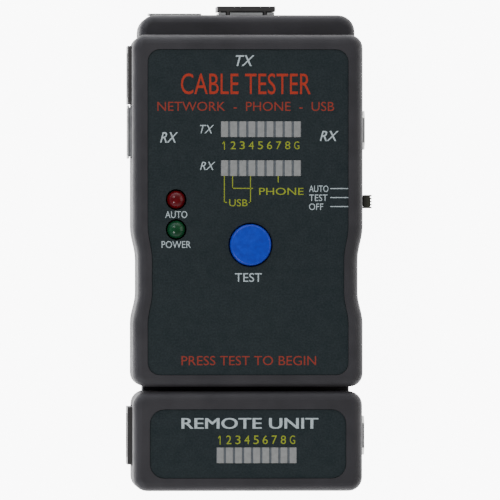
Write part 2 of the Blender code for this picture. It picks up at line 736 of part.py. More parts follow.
def modular_jack(prefix, frame):
    """A shielded eight-way jack: its housing, its shield and its row of contacts."""
    body_half = JACK_BODY_WIDTH / 2
    body_low = -JACK_FLANGE_HEIGHT + GAP
    housing = box((-JACK_FLANGE_WIDTH / 2, -JACK_FLANGE_THICKNESS, -JACK_FLANGE_HEIGHT),
                  (JACK_FLANGE_WIDTH / 2, 0.0, 0.0))
    round_long_edges(housing, 0.6 * MM, 1)
    ribs = []
    for side in (-1, 1):
        centre = side * JACK_RIB_SPACING / 2
        rear = -JACK_FLANGE_THICKNESS - JACK_RIB_LENGTH
        ribs.append(box((centre - JACK_RIB_WIDTH / 2, rear, -2 * JACK_BODY_TOP),
                        (centre + JACK_RIB_WIDTH / 2, -JACK_FLANGE_THICKNESS / 2, 0.0)))
    body = box((-body_half, -JACK_DEPTH, body_low), (body_half, -GAP, -JACK_BODY_TOP))
    join(housing, body, *ribs)
    plug_low = -JACK_PLUG_TOP - JACK_PLUG_HEIGHT
    half = JACK_PLUG_WIDTH / 2
    latch_half = JACK_LATCH_WIDTH / 2
    plug = box((-half, -JACK_PLUG_DEPTH, plug_low), (half, WALL, -JACK_PLUG_TOP))
    latch = box((-latch_half, -JACK_LATCH_DEPTH, plug_low - JACK_LATCH_HEIGHT),
                (latch_half, 2 * WALL, plug_low + GAP))
    cut(housing, plug)
    cut(housing, latch)
    place(keep(housing, prefix + "_jack_housing", "jack_black"), frame)

    inner = body_half + GAP
    outer = inner + SHIELD_THICKNESS
    top = -JACK_BODY_TOP + GAP
    front = -JACK_FLANGE_THICKNESS - GAP
    shield = box((-outer, -JACK_DEPTH - GAP - SHIELD_THICKNESS, body_low),
                 (outer, front, top + SHIELD_THICKNESS))
    hollow = box((-inner, -JACK_DEPTH - GAP, body_low - WALL), (inner, WALL, top))
    notches = []
    for side in (-1, 1):
        centre = side * JACK_RIB_SPACING / 2
        notches.append(box((centre - JACK_RIB_WIDTH / 2 - GAP,
                            -JACK_FLANGE_THICKNESS - JACK_RIB_LENGTH - GAP, top - GAP),
                           (centre + JACK_RIB_WIDTH / 2 + GAP, WALL, WALL)))
    cut(shield, hollow, *notches)
    place(keep(shield, prefix + "_jack_shield", "tin_plate"), frame)

    comb = contact_comb()
    place(keep(comb, prefix + "_jack_contacts", "gold_plate"), frame)


def contact_comb():
    """Eight spring contacts on one spine, sloping up towards the mouth of the jack."""
    half = (CONTACT_COUNT - 1) * CONTACT_PITCH / 2 + CONTACT_WIDTH / 2
    outline = [(half, 0.0), (-half, 0.0)]
    for index in range(CONTACT_COUNT):
        left = -half + index * CONTACT_PITCH
        outline += [(left, CONTACT_SPINE), (left, CONTACT_LENGTH),
                    (left + CONTACT_WIDTH, CONTACT_LENGTH), (left + CONTACT_WIDTH, CONTACT_SPINE)]
    # the first and last teeth run straight into the spine's own sides
    outline = [point for index, point in enumerate(outline) if index not in (2, len(outline) - 1)]
    comb = prism(outline, -CONTACT_THICKNESS, 0.0)
    comb.data.transform(Matrix.Rotation(CONTACT_SLOPE, 4, "X"))
    tip_height = CONTACT_LENGTH * math.sin(CONTACT_SLOPE)
    rear_clearance = GAP + CONTACT_THICKNESS
    comb.data.transform(Matrix.Translation((0.0, -JACK_PLUG_DEPTH + rear_clearance,
                                            -JACK_PLUG_TOP - GAP - tip_height)))
    return comb


def usb_cutters(frame):
    half = USB_FLANGE_WIDTH / 2 + GAP
    tube_half = USB_WIDTH / 2 + GAP
    drop = (USB_FLANGE_HEIGHT - USB_HEIGHT) / 2
    flange = box((-half, -USB_FLANGE_THICKNESS - GAP, -USB_FLANGE_HEIGHT - GAP), (half, WALL, GAP))
    body = box((-tube_half, -USB_SHORT_DEPTH, -USB_FLANGE_HEIGHT + drop - GAP),
               (tube_half, WALL, -drop + GAP))
    return [place(flange, frame), place(body, frame)]


def usb_receptacle(prefix, frame, depth):
    """A flat USB receptacle: its folded shell and its insert with the tongue."""
    drop = (USB_FLANGE_HEIGHT - USB_HEIGHT) / 2
    half = USB_WIDTH / 2
    low = -USB_FLANGE_HEIGHT + drop
    shell = box((-USB_FLANGE_WIDTH / 2, -USB_FLANGE_THICKNESS, -USB_FLANGE_HEIGHT),
                (USB_FLANGE_WIDTH / 2, 0.0, 0.0))
    round_long_edges(shell, 0.8 * MM, 1)
    join(shell, box((-half, -depth, low), (half, -GAP, -drop)))
    cut(shell, box((-half + USB_WALL, -depth + USB_WALL, low + USB_WALL),
                   (half - USB_WALL, WALL, -drop - USB_WALL)))
    place(keep(shell, prefix + "_usb_shell", "tin_plate"), frame)

    clear = USB_WALL + GAP
    base_front = -depth + clear + USB_BASE_DEPTH
    insert = box((-half + clear, -depth + clear, low + clear),
                 (half - clear, base_front, -drop - clear))
    tongue = box((-half + 3 * clear, base_front - GAP, -drop - clear - USB_TONGUE_THICKNESS),
                 (half - 3 * clear, -USB_TONGUE_SETBACK, -drop - clear))
    place(keep(join(insert, tongue), prefix + "_usb_insert", "insert_white"), frame)


def square_usb_outline(inset):
    """The square receptacle's section in X and Z, with its two upper corners cut off."""
    half = USB_B_WIDTH / 2 - inset
    low = -USB_B_HEIGHT + inset
    high = -inset
    chamfer = USB_B_CHAMFER
    return [(-half, low), (half, low), (half, high - chamfer), (half - chamfer, high),
            (-half + chamfer, high), (-half, high - chamfer)]


def square_usb_cutter(frame):
    return place(prism_y(square_usb_outline(-GAP), -USB_SHORT_DEPTH, WALL), frame)


def square_usb_receptacle(prefix, frame):
    """A square USB receptacle: its shell and its insert with the central post."""
    shell = prism_y(square_usb_outline(0.0), -USB_B_DEPTH, 0.0)
    cut(shell, prism_y(square_usb_outline(USB_B_WALL), -USB_B_DEPTH + USB_B_WALL, WALL))
    place(keep(shell, prefix + "_usb_b_shell", "tin_plate"), frame)

    clear = USB_B_WALL + GAP
    base_front = -USB_B_DEPTH + clear + USB_BASE_DEPTH
    insert = prism_y(square_usb_outline(clear), -USB_B_DEPTH + clear, base_front)
    middle = -USB_B_HEIGHT / 2
    post = box((-USB_B_POST_WIDTH / 2, base_front - GAP, middle - USB_B_POST_HEIGHT / 2),
               (USB_B_POST_WIDTH / 2, -USB_TONGUE_SETBACK, middle + USB_B_POST_HEIGHT / 2))
    place(keep(join(insert, post), prefix + "_usb_b_insert", "insert_white"), frame)


TX_JACK = port_frame(0.0, HUMP_TOP + TX_JACK_OUT, 0)
TX_USB = port_frame(-TX_USB_FROM_CENTRE, HUMP_TOP + TX_USB_OUT, 0)
RX_JACK = port_frame(-CASE_WIDTH / 2 - RX_JACK_OUT, MAIN_TOP - RX_JACK_DOWN, 90)
RX_USB = port_frame(-CASE_WIDTH / 2 - RX_USB_OUT, MAIN_TOP - RX_USB_DOWN, 90)
RX_USB_B = port_frame(CASE_WIDTH / 2 + USB_B_OUT, MAIN_TOP - RX_USB_B_DOWN, -90)
REMOTE_JACK = port_frame(-REMOTE_WIDTH / 2 - REMOTE_JACK_OUT, REMOTE_TOP - REMOTE_PORT_DOWN, 90)
REMOTE_USB_B = port_frame(REMOTE_WIDTH / 2 + USB_B_OUT, REMOTE_TOP - REMOTE_PORT_DOWN, -90)


def main_port_cutters():
    """The holes that the main unit's five ports need in both half shells."""
    return (jack_cutters(TX_JACK) + jack_cutters(RX_JACK) + usb_cutters(TX_USB)
            + usb_cutters(RX_USB) + [square_usb_cutter(RX_USB_B)])


def remote_port_cutters():
    return jack_cutters(REMOTE_JACK) + [square_usb_cutter(REMOTE_USB_B)]


# ---------------------------------------------------------------- main unit

def make_main_shells():
    outlines = [case_outline, hump_outline]
    front = front_shell_blank(outlines, [CASE_THICKNESS, HUMP_HIGH], [FRONT_FILLET, HUMP_FILLET])
    cut(front, prism(label_outline(0.0), LABEL_FLOOR, CASE_THICKNESS + WALL))
    add_bosses(front, screw_places(CASE_SCREWS, MAIN_TOP))
    join(front, *[cylinder(x, y, PCB_POST_RADIUS, ON_BOARD, FRONT_INSIDE + FRONT_WALL / 2)
                  for x, y in screw_places(PCB_SCREWS, MAIN_TOP)])
    cut(front, *[cylinder(x, y, SCREW_SHAFT_RADIUS + GAP, 0.0, FRONT_INSIDE)
                 for x, y in screw_places(PCB_SCREWS, MAIN_TOP)])
    cut(front, *front_cutters(), switch_slot(), *main_port_cutters())
    keep(front, "front_shell", "case_grey")

    rear = rear_shell_blank(outlines, [REAR_FILLET, HUMP_REAR_FILLET])
    half = SPIGOT_WIDTH / 2
    spigot_high = PARTING_HEIGHT - GAP
    end = MAIN_BOTTOM - SPIGOT_DEPTH
    spigot = box((-half, end, SPIGOT_LOW), (half, MAIN_BOTTOM + WALL / 2, spigot_high))
    join(rear, round_long_edges(spigot, 0.6 * MM, 1))
    cut(rear, box((-half + SPIGOT_WALL, end + SPIGOT_WALL, SPIGOT_LOW + SPIGOT_WALL),
                  (half - SPIGOT_WALL, MAIN_BOTTOM + 2 * WALL, spigot_high - SPIGOT_WALL)))
    add_posts(rear, screw_places(CASE_SCREWS, MAIN_TOP))
    opening = rounded_rectangle(-DOOR_WIDTH / 2 - GAP, DOOR_BOTTOM - GAP, DOOR_WIDTH / 2 + GAP,
                                DOOR_TOP + GAP, DOOR_CORNER + GAP)
    cut(rear, prism(opening, -WALL, WALL + GAP / 2))
    stop_low = WALL + GAP
    join(rear, box((-STOP_WIDTH / 2, MAIN_BOTTOM + WALL / 2, stop_low),
                   (STOP_WIDTH / 2, DOOR_BOTTOM + STOP_LENGTH, stop_low + STOP_THICKNESS)))
    cut(rear, *main_port_cutters())
    keep(rear, "rear_shell", "case_grey")


def make_label():
    label = prism(label_outline(GAP), LABEL_LOW, LABEL_HIGH)
    keep(cut(label, *front_cutters()), "front_label", "label_green_black")


def board(outline, holes):
    """A circuit board with round holes, each given as x, y and radius."""
    plate = prism(outline, PCB_LOW, PCB_HIGH)
    return cut(plate, *[cylinder(x, y, radius, 0.0, CASE_THICKNESS) for x, y, radius in holes])


def make_main_board():
    half = CASE_WIDTH / 2 - PCB_MARGIN
    holes = [(x, y, BOSS_RADIUS + GAP) for x, y in screw_places(CASE_SCREWS, MAIN_TOP)]
    holes += [(x, y, SCREW_SHAFT_RADIUS + GAP) for x, y in screw_places(PCB_SCREWS, MAIN_TOP)]
    outline = waisted_rectangle(half, PCB_BOTTOM, PCB_TOP, PCB_CORNER, WAIST_DEPTH)
    keep(board(outline, holes), "main_board", "board_green")
    for name, (x, down, width, length, height) in CHIP_PLACES.items():
        y = MAIN_TOP - down
        chip = box((x - width / 2, y - length / 2, ON_BOARD),
                   (x + width / 2, y + length / 2, ON_BOARD + height))
        if name == "crystal":
            round_long_edges(chip, 0.45 * length, 2)
            keep(chip, name, "tin_plate")
        else:
            keep(round_rim(chip, ON_BOARD + height, 0.3 * MM), name, "chip_black")
    x, down = CAPACITOR_PLACE
    low = UNDER_BOARD - CAPACITOR_HEIGHT
    rim = 0.4 * MM
    capacitor = turned([(0.0, 0.0), (CAPACITOR_RADIUS - rim, 0.0), (CAPACITOR_RADIUS, -rim),
                        (CAPACITOR_RADIUS, -CAPACITOR_HEIGHT + rim),
                        (CAPACITOR_RADIUS - rim, -CAPACITOR_HEIGHT), (0.0, -CAPACITOR_HEIGHT)],
                       HOLE_SIDES)
    capacitor.location = (x, MAIN_TOP - down, low + CAPACITOR_HEIGHT)
    keep(capacitor, "capacitor", "wire_black")
    make_network("resistor_network", MAIN_TOP - NETWORK_DOWN)


def make_network(name, y):
    """A row of resistors in one flat block, hanging under a board."""
    width, thickness, height = NETWORK_SIZE
    network = box((-width / 2, y - thickness / 2, UNDER_BOARD - height),
                  (width / 2, y + thickness / 2, UNDER_BOARD))
    keep(round_long_edges(network, 0.5 * MM, 0), name, "resistor_yellow")


def light_bar(name, centre_x, centre_y):
    """A row of nine light segments on one block that stands on the board."""
    half_length = BAR_LENGTH / 2
    half_width = BAR_WIDTH / 2
    face = LABEL_HIGH - 2 * BAR_SEGMENT_HEIGHT
    block = box((centre_x - half_length, centre_y - half_width, ON_BOARD),
                (centre_x + half_length, centre_y + half_width, face))
    segments = []
    for index in range(BAR_COUNT):
        x = centre_x + (index - (BAR_COUNT - 1) / 2) * BAR_PITCH
        segments.append(box((x - BAR_SEGMENT_WIDTH / 2, centre_y - half_width + BAR_SEGMENT_MARGIN,
                             face - BAR_SEGMENT_HEIGHT),
                            (x + BAR_SEGMENT_WIDTH / 2, centre_y + half_width - BAR_SEGMENT_MARGIN,
                             face + BAR_SEGMENT_HEIGHT)))
    keep(join(block, *segments), name, "bar_grey")


def round_light(name, down, finish):
    """A round light: flange on the board, straight body and a domed end."""
    top = LABEL_HIGH + LED_PROUD
    dome = arc(0.0, top - LED_RADIUS, LED_RADIUS, 90, 0, CORNER_STEPS)
    flange_top = ON_BOARD + LED_FLANGE_HEIGHT
    profile = [(abs(radius), height) for radius, height in dome]
    profile[0] = (0.0, top)
    profile += [(LED_RADIUS, flange_top), (LED_FLANGE_RADIUS, flange_top),
                (LED_FLANGE_RADIUS, ON_BOARD), (0.0, ON_BOARD)]
    light = turned(profile, HOLE_SIDES)
    light.location = (LED_CENTRE_X, MAIN_TOP - down, 0.0)
    keep(light, name, finish)


def make_test_button():
    x = BUTTON_CENTRE_X
    y = MAIN_TOP - BUTTON_DOWN
    tact_top = ON_BOARD + TACT_HEIGHT
    half = TACT_WIDTH / 2
    body = box((x - half, y - half, ON_BOARD), (x + half, y + half, tact_top))
    round_long_edges(body, 0.5 * MM, 2)
    cut(body, cylinder(x, y, PLUNGER_RADIUS + GAP, ON_BOARD + TACT_FLOOR, tact_top + WALL))
    keep(body, "tact_switch", "chip_black")

    flange_top = FRONT_INSIDE - GAP
    flange_low = flange_top - BUTTON_FLANGE_THICKNESS
    plunger_top = flange_low - GAP
    plunger = cylinder(x, y, PLUNGER_RADIUS, plunger_top - PLUNGER_HEIGHT, plunger_top)
    keep(set_origin(plunger, (x, y, plunger_top)), "tact_plunger", "insert_white")

    top = CASE_THICKNESS + BUTTON_PROUD
    edge = 0.9 * MM
    crown = 0.25 * MM
    flange_radius = BUTTON_RADIUS + BUTTON_FLANGE
    profile = [(0.0, top), (0.55 * BUTTON_RADIUS, top - crown / 3)]
    profile += arc(BUTTON_RADIUS - edge, top - crown - edge, edge, 90, 0, FILLET_STEPS)
    profile += [(BUTTON_RADIUS, flange_top), (flange_radius, flange_top),
                (flange_radius, flange_low), (0.0, flange_low)]
    profile = [(radius, height - flange_low) for radius, height in profile]
    cap = turned(profile)
    cap.location = (x, y, flange_low)
    keep(cap, "test_button", "button_blue")


def make_slide_switch():
    y = MAIN_TOP - SWITCH_DOWN
    length, width, height = SWITCH_BODY
    middle = ON_BOARD + height / 2
    board_edge = CASE_WIDTH / 2 - PCB_MARGIN
    travel_half = STEM_LENGTH / 2 + SWITCH_TRAVEL + GAP
    stem_half = STEM_HEIGHT / 2
    body = box((board_edge - length, y - width / 2, ON_BOARD),
               (board_edge, y + width / 2, ON_BOARD + height))
    cut(body, box((board_edge - SWITCH_POCKET, y - travel_half, middle - stem_half - GAP),
                  (board_edge + WALL, y + travel_half, middle + stem_half + GAP)))
    keep(body, "slide_switch_body", "zinc_steel")

    head_low = CASE_WIDTH / 2 + GAP
    head_high = CASE_WIDTH / 2 + KNOB_PROUD
    step = KNOB_LENGTH / (2 * KNOB_RIBS - 1)
    outline = [(head_low, y + KNOB_LENGTH / 2), (head_low, y - KNOB_LENGTH / 2)]
    for index in range(KNOB_RIBS):
        start = y - KNOB_LENGTH / 2 + 2 * index * step
        outline += [(head_high, start), (head_high, start + step)]
        if index < KNOB_RIBS - 1:
            valley = head_high - KNOB_RIB_HEIGHT
            outline += [(valley, start + step), (valley, start + 2 * step)]
    head = prism(outline, middle - KNOB_HEIGHT / 2, middle + KNOB_HEIGHT / 2)
    stem = box((board_edge - SWITCH_POCKET + GAP, y - STEM_LENGTH / 2, middle - stem_half),
               (head_low + GAP, y + STEM_LENGTH / 2, middle + stem_half))
    knob = set_origin(join(head, stem), (head_low, y, middle))
    keep(knob, "slide_switch_knob", "knob_black")


# ---------------------------------------------------------------- battery

def make_battery():
    left = -BATTERY_LEFT
    right = left + BATTERY_LENGTH
    high = BATTERY_LOW + BATTERY_HEIGHT
    top = BATTERY_BOTTOM + BATTERY_WIDTH
    section = rounded_rectangle(BATTERY_BOTTOM, BATTERY_LOW, top, high, BATTERY_CORNER)
    body = prism(section, left, right, ALONG_X)
    middle_y = (BATTERY_BOTTOM + top) / 2
    middle_z = (BATTERY_LOW + high) / 2
    offsets = (-TERMINAL_SPACING / 2, TERMINAL_SPACING / 2)
    posts = [cylinder(middle_y + offset, middle_z, radius, right - WALL, right + TERMINAL_HEIGHT,
                      HOLE_SIDES, ALONG_X) for offset, radius in zip(offsets, TERMINAL_RADII)]
    keep(join(body, *posts), "battery", "cell_jacket")

    snap_low = right + GAP
    snap = prism(rounded_rectangle(middle_y - SNAP_LENGTH / 2, middle_z - SNAP_HEIGHT / 2,
                                   middle_y + SNAP_LENGTH / 2, middle_z + SNAP_HEIGHT / 2,
                                   SNAP_HEIGHT / 3), snap_low, snap_low + SNAP_THICKNESS, ALONG_X)
    sockets = [cylinder(middle_y + offset, middle_z, radius + GAP, right - WALL,
                        right + TERMINAL_HEIGHT + GAP, HOLE_SIDES, ALONG_X)
               for offset, radius in zip(offsets, TERMINAL_RADII)]
    keep(cut(snap, *sockets), "battery_snap", "snap_black")

    start_x = snap_low + SNAP_THICKNESS / 2
    start_z = middle_z + SNAP_HEIGHT / 2 + 2 * GAP
    over = (high + FRONT_INSIDE) / 2
    for name, finish, start_y, lane in (
            ("battery_lead_red", "wire_red", middle_y + 4.0 * MM, 3.6 * MM),
            ("battery_lead_black", "wire_black", middle_y - 4.0 * MM, 7.6 * MM)):
        end_x = start_x - lane
        lead = tube([(start_x, start_y, start_z),
                     (start_x, start_y, start_z + 1.8 * MM),
                     (start_x - lane / 4, start_y + 4.0 * MM, over),
                     ((start_x + end_x) / 2, top - 1.5 * MM, over),
                     (end_x, PCB_BOTTOM + 0.5 * MM, over - 0.3 * MM),
                     (end_x, PCB_BOTTOM + 2.2 * MM, ON_BOARD + 1.2 * MM),
                     (end_x, PCB_BOTTOM + 2.4 * MM, ON_BOARD)], LEAD_RADIUS)
        keep(lead, name, finish)


def make_battery_door():
    """The door: a plate with two hooks along its upper edge and a ribbed thumb grip at the other."""
    low = DOOR_RECESS
    high = low + DOOR_THICKNESS
    door = prism(rounded_rectangle(-DOOR_WIDTH / 2, DOOR_BOTTOM, DOOR_WIDTH / 2, DOOR_TOP,
                                   DOOR_CORNER), low, high)
    hooks = []
    for side in (-1, 1):
        centre = side * HOOK_FROM_CENTRE
        hooks.append(box((centre - HOOK_WIDTH / 2, DOOR_TOP - HOOK_LENGTH, high - GAP),
                         (centre + HOOK_WIDTH / 2, DOOR_TOP + HOOK_LENGTH,
                          WALL + GAP + HOOK_THICKNESS)))
        hooks.append(box((centre - HOOK_WIDTH, DOOR_TOP, high - WALL),
                         (centre + HOOK_WIDTH, DOOR_TOP + WALL, WALL + GAP)))
    join(door, hooks[0], hooks[2])
    cut(door, hooks[1], hooks[3])
    grooves = []
    for index in range(GRIP_RIBS):
        y = DOOR_BOTTOM + (index + 2) * GRIP_PITCH
        grooves.append(box((-GRIP_LENGTH / 2, y - GRIP_WIDTH / 2, low - WALL),
                           (GRIP_LENGTH / 2, y + GRIP_WIDTH / 2, low + GRIP_DEPTH)))
    cut(door, *grooves)
    keep(set_origin(door, (0.0, DOOR_TOP, low)), "battery_door", "case_grey")


# ---------------------------------------------------------------- screws

def make_screw(name, x, y, head_low, length):
    """A cross-head screw that points up, its head at the bottom."""
    head_top = head_low + SCREW_HEAD_HEIGHT
    tip = head_top + length
    taper = 0.6 * MM
    chamfer = 0.3 * MM
    screw = turned([(0.0, tip), (SCREW_SHAFT_RADIUS - taper, tip), (SCREW_SHAFT_RADIUS, tip - taper),
                    (SCREW_SHAFT_RADIUS, head_top), (SCREW_HEAD_RADIUS, head_top),
                    (SCREW_HEAD_RADIUS, head_low + chamfer),
                    (SCREW_HEAD_RADIUS - chamfer, head_low), (0.0, head_low)], SCREW_SIDES)
    recess_high = head_low + CROSS_DEPTH
    half = CROSS_WIDTH / 2
    reach = CROSS_LENGTH / 2
    cross = join(box((-half, -reach, head_low - WALL), (half, reach, recess_high)),
                 box((-reach, -half, head_low - WALL), (reach, half, recess_high)))
    cut(screw, cross)
    screw.location = (x, y, 0.0)
    keep(screw, name, "zinc_steel")


def make_screws():
    head_low = COUNTERBORE_DEPTH - GAP - SCREW_HEAD_HEIGHT
    for index, (x, y) in enumerate(screw_places(CASE_SCREWS, MAIN_TOP), 1):
        make_screw(f"case_screw_{index}", x, y, head_low, SCREW_LENGTH)
    for index, (x, y) in enumerate(screw_places(PCB_SCREWS, MAIN_TOP), 1):
        make_screw(f"board_screw_{index}", x, y, UNDER_BOARD - SCREW_HEAD_HEIGHT, PCB_SCREW_LENGTH)
    for index, (x, y) in enumerate(screw_places(REMOTE_SCREWS, REMOTE_TOP), 1):
        make_screw(f"remote_screw_{index}", x, y, head_low, SCREW_LENGTH)


# ---------------------------------------------------------------- remote unit

def make_remote():
    outlines = [remote_outline]
    places = screw_places(REMOTE_SCREWS, REMOTE_TOP)
    bar_y = REMOTE_TOP - REMOTE_BAR_DOWN
    dock = (0.0, REMOTE_TOP, PARTING_HEIGHT)
    front = front_shell_blank(outlines, [CASE_THICKNESS], [FRONT_FILLET])
    cut(front, prism(remote_label_outline(0.0), LABEL_FLOOR, CASE_THICKNESS + WALL))
    add_bosses(front, places)
    cut(front, bar_cutter(REMOTE_BAR_CENTRE_X, bar_y), *remote_port_cutters())
    keep(set_origin(front, dock), "remote_front_shell", "case_grey")

    rear = add_posts(rear_shell_blank(outlines, [REAR_FILLET]), places)
    half = SPIGOT_WIDTH / 2 + GAP
    mouth = box((-half, REMOTE_TOP - 2 * WALL, SPIGOT_LOW - GAP),
                (half, REMOTE_TOP + WALL, PARTING_HEIGHT + WALL))
    cut(rear, mouth, *remote_port_cutters())
    keep(set_origin(rear, dock), "remote_rear_shell", "case_grey")

    label = prism(remote_label_outline(GAP), LABEL_LOW, LABEL_HIGH)
    keep(cut(label, bar_cutter(REMOTE_BAR_CENTRE_X, bar_y)), "remote_label", "label_green_black")
    light_bar("remote_light_bar", REMOTE_BAR_CENTRE_X, bar_y)
    board_half = REMOTE_WIDTH / 2 - PCB_MARGIN
    holes = [(x, y, BOSS_RADIUS + GAP) for x, y in places]
    outline = rounded_rectangle(-board_half, REMOTE_BOTTOM + PCB_MARGIN, board_half,
                                REMOTE_TOP - PCB_MARGIN, PCB_CORNER)
    keep(board(outline, holes), "remote_board", "board_green")
    modular_jack("remote", REMOTE_JACK)
    square_usb_receptacle("remote", REMOTE_USB_B)
    make_network("remote_resistor_network", REMOTE_TOP - REMOTE_NETWORK_DOWN)


make_main_shells()
make_label()
make_main_board()
light_bar("tx_light_bar", BAR_CENTRE_X, MAIN_TOP - TX_BAR_DOWN)
light_bar("rx_light_bar", BAR_CENTRE_X, MAIN_TOP - RX_BAR_DOWN)
round_light("auto_led", AUTO_LED_DOWN, "led_red")
round_light("power_led", POWER_LED_DOWN, "led_green")
make_test_button()
make_slide_switch()
modular_jack("tx", TX_JACK)
modular_jack("rx", RX_JACK)
usb_receptacle("tx", TX_USB, USB_SHORT_DEPTH)
usb_receptacle("rx", RX_USB, USB_DEPTH)
square_usb_receptacle("rx", RX_USB_B)
make_battery()
make_battery_door()
make_screws()
make_remote()
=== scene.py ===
# Looks of the network cable tester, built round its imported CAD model.
#
# Sizes are in metres, in the model's own frame: +Z out of the labelled front, +Y towards the
# transmit end, and +X to the right.
import json
import math

import bmesh
import bpy
from mathutils import Matrix, Vector


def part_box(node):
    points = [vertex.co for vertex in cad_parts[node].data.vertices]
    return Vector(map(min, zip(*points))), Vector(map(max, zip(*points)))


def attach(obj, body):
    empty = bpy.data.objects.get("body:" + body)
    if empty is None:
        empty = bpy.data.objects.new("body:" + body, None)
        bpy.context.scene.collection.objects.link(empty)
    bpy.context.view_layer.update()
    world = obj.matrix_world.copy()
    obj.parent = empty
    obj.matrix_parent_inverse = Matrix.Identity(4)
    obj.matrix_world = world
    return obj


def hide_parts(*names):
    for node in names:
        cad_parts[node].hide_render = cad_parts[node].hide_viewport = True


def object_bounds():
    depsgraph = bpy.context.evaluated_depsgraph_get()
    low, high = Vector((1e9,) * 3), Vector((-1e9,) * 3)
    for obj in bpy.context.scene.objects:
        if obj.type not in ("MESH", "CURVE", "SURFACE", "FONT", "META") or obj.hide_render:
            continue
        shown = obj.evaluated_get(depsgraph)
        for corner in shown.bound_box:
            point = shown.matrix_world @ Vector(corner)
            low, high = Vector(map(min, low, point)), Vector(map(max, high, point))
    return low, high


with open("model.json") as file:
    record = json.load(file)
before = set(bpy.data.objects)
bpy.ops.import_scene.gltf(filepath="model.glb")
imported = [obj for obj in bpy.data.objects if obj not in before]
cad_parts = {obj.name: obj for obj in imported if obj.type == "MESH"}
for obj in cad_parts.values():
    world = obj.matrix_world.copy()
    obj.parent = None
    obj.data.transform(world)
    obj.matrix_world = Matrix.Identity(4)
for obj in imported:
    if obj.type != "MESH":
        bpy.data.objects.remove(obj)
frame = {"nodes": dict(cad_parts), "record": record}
cad_low, cad_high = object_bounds()
NODES = frame["nodes"]
MM = 0.001

MAIN = "main_unit"
REMOTE = "remote"

# Read back from the model. The main unit is centred on the origin, and only its port block
# reaches past MAIN_TOP.
CASE_LOW, CASE_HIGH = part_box("front_shell")
LABEL_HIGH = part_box("front_label")[1]
REMOTE_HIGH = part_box("remote_front_shell")[1]
REMOTE_LABEL_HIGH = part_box("remote_label")[1]
FRONT = CASE_HIGH.z
MAIN_TOP = -CASE_LOW.y


# ---------------------------------------------------------------- node material helpers

# Colour sockets of a mix node, which share their names with its other sockets
MIX_FACTOR = 0
MIX_FIRST = 6
MIX_SECOND = 7
MIX_RESULT = 2


class Nodes:
    """Short calls that add nodes to a node tree."""

    def __init__(self, tree):
        self.tree = tree

    def node(self, kind, **settings):
        made = self.tree.nodes.new(kind)
        for key, value in settings.items():
            setattr(made, key, value)
        return made

    def link(self, source, target):
        self.tree.links.new(source, target)

    def remap(self, value, low, high, to_low, to_high):
        """A value from low to high turned into one from to_low to to_high, and held there."""
        mapper = self.node("ShaderNodeMapRange")
        for socket, number in (("From Min", low), ("From Max", high),
                               ("To Min", to_low), ("To Max", to_high)):
            mapper.inputs[socket].default_value = number
        self.link(value, mapper.inputs["Value"])
        return mapper.outputs["Result"]

    def multiply(self, first, second):
        product = self.node("ShaderNodeMath", operation="MULTIPLY")
        self.link(first, product.inputs[0])
        self.link(second, product.inputs[1])
        return product.outputs[0]

    def blend(self, factor, first, second):
        """A colour mixed by a factor from two colours, each a colour or a socket."""
        mixer = self.node("ShaderNodeMix", data_type="RGBA")
        self.link(factor, mixer.inputs[MIX_FACTOR])
        for index, colour in ((MIX_FIRST, first), (MIX_SECOND, second)):
            if isinstance(colour, tuple):
                mixer.inputs[index].default_value = (*colour, 1.0)
            else:
                self.link(colour, mixer.inputs[index])
        return mixer.outputs[MIX_RESULT]


class Finish(Nodes):
    """A node material with one Principled shader, and short calls for the nodes that feed it."""

    def __init__(self, name, roughness, metallic=0.0, specular=0.5):
        self.material = bpy.data.materials.new(name)
        self.material.use_nodes = True
        super().__init__(self.material.node_tree)
        self.shader = self.tree.nodes["Principled BSDF"]
        self.set("Roughness", roughness)
        self.set("Metallic", metallic)
        self.set("Specular IOR Level", specular)
        self.place = self.node("ShaderNodeTexCoord").outputs["Object"]

    def set(self, socket, value):
        self.shader.inputs[socket].default_value = value

    def noise(self, scale, detail=3.0, rough=0.55, stretch=None):
        """Fractal noise of about 1 / scale metres, stretched along an axis if asked."""
        texture = self.node("ShaderNodeTexNoise")
        texture.inputs["Scale"].default_value = scale
        texture.inputs["Detail"].default_value = detail
        texture.inputs["Roughness"].default_value = rough
        place = self.place
        if stretch:
            mapping = self.node("ShaderNodeMapping")
            mapping.inputs["Scale"].default_value = stretch
            self.link(place, mapping.inputs["Vector"])
            place = mapping.outputs["Vector"]
        self.link(place, texture.inputs["Vector"])
        return texture.outputs["Fac"]

    def spots(self, scale):
        """Distance from scattered cells of about 1 / scale metres."""
        texture = self.node("ShaderNodeTexVoronoi")
        texture.inputs["Scale"].default_value = scale
        self.link(self.place, texture.inputs["Vector"])
        return texture.outputs["Distance"]

    def edges(self, radius, low=0.75, high=0.995):
        """1 along sharp outer edges, falling to 0 about a radius away from them."""
        soft = self.node("ShaderNodeBevel", samples=4)
        soft.inputs["Radius"].default_value = radius
        plain = self.node("ShaderNodeNewGeometry")
        dot = self.node("ShaderNodeVectorMath", operation="DOT_PRODUCT")
        self.link(soft.outputs["Normal"], dot.inputs[0])
        self.link(plain.outputs["Normal"], dot.inputs[1])
        return self.remap(dot.outputs["Value"], low, high, 1.0, 0.0)

    def colour(self, socket):
        self.link(socket, self.shader.inputs["Base Color"])

    def roughness(self, socket):
        self.link(socket, self.shader.inputs["Roughness"])

    def bump(self, pattern, distance, strength=1.0, under=None):
        """Relief from a pattern, distance metres deep, over another relief if one is given."""
        bump = self.node("ShaderNodeBump")
        bump.inputs["Distance"].default_value = distance
        bump.inputs["Strength"].default_value = strength
        self.link(pattern, bump.inputs["Height"])
        if under is not None:
            self.link(under, bump.inputs["Normal"])
        self.link(bump.outputs["Normal"], self.shader.inputs["Normal"])
        return bump.outputs["Normal"]


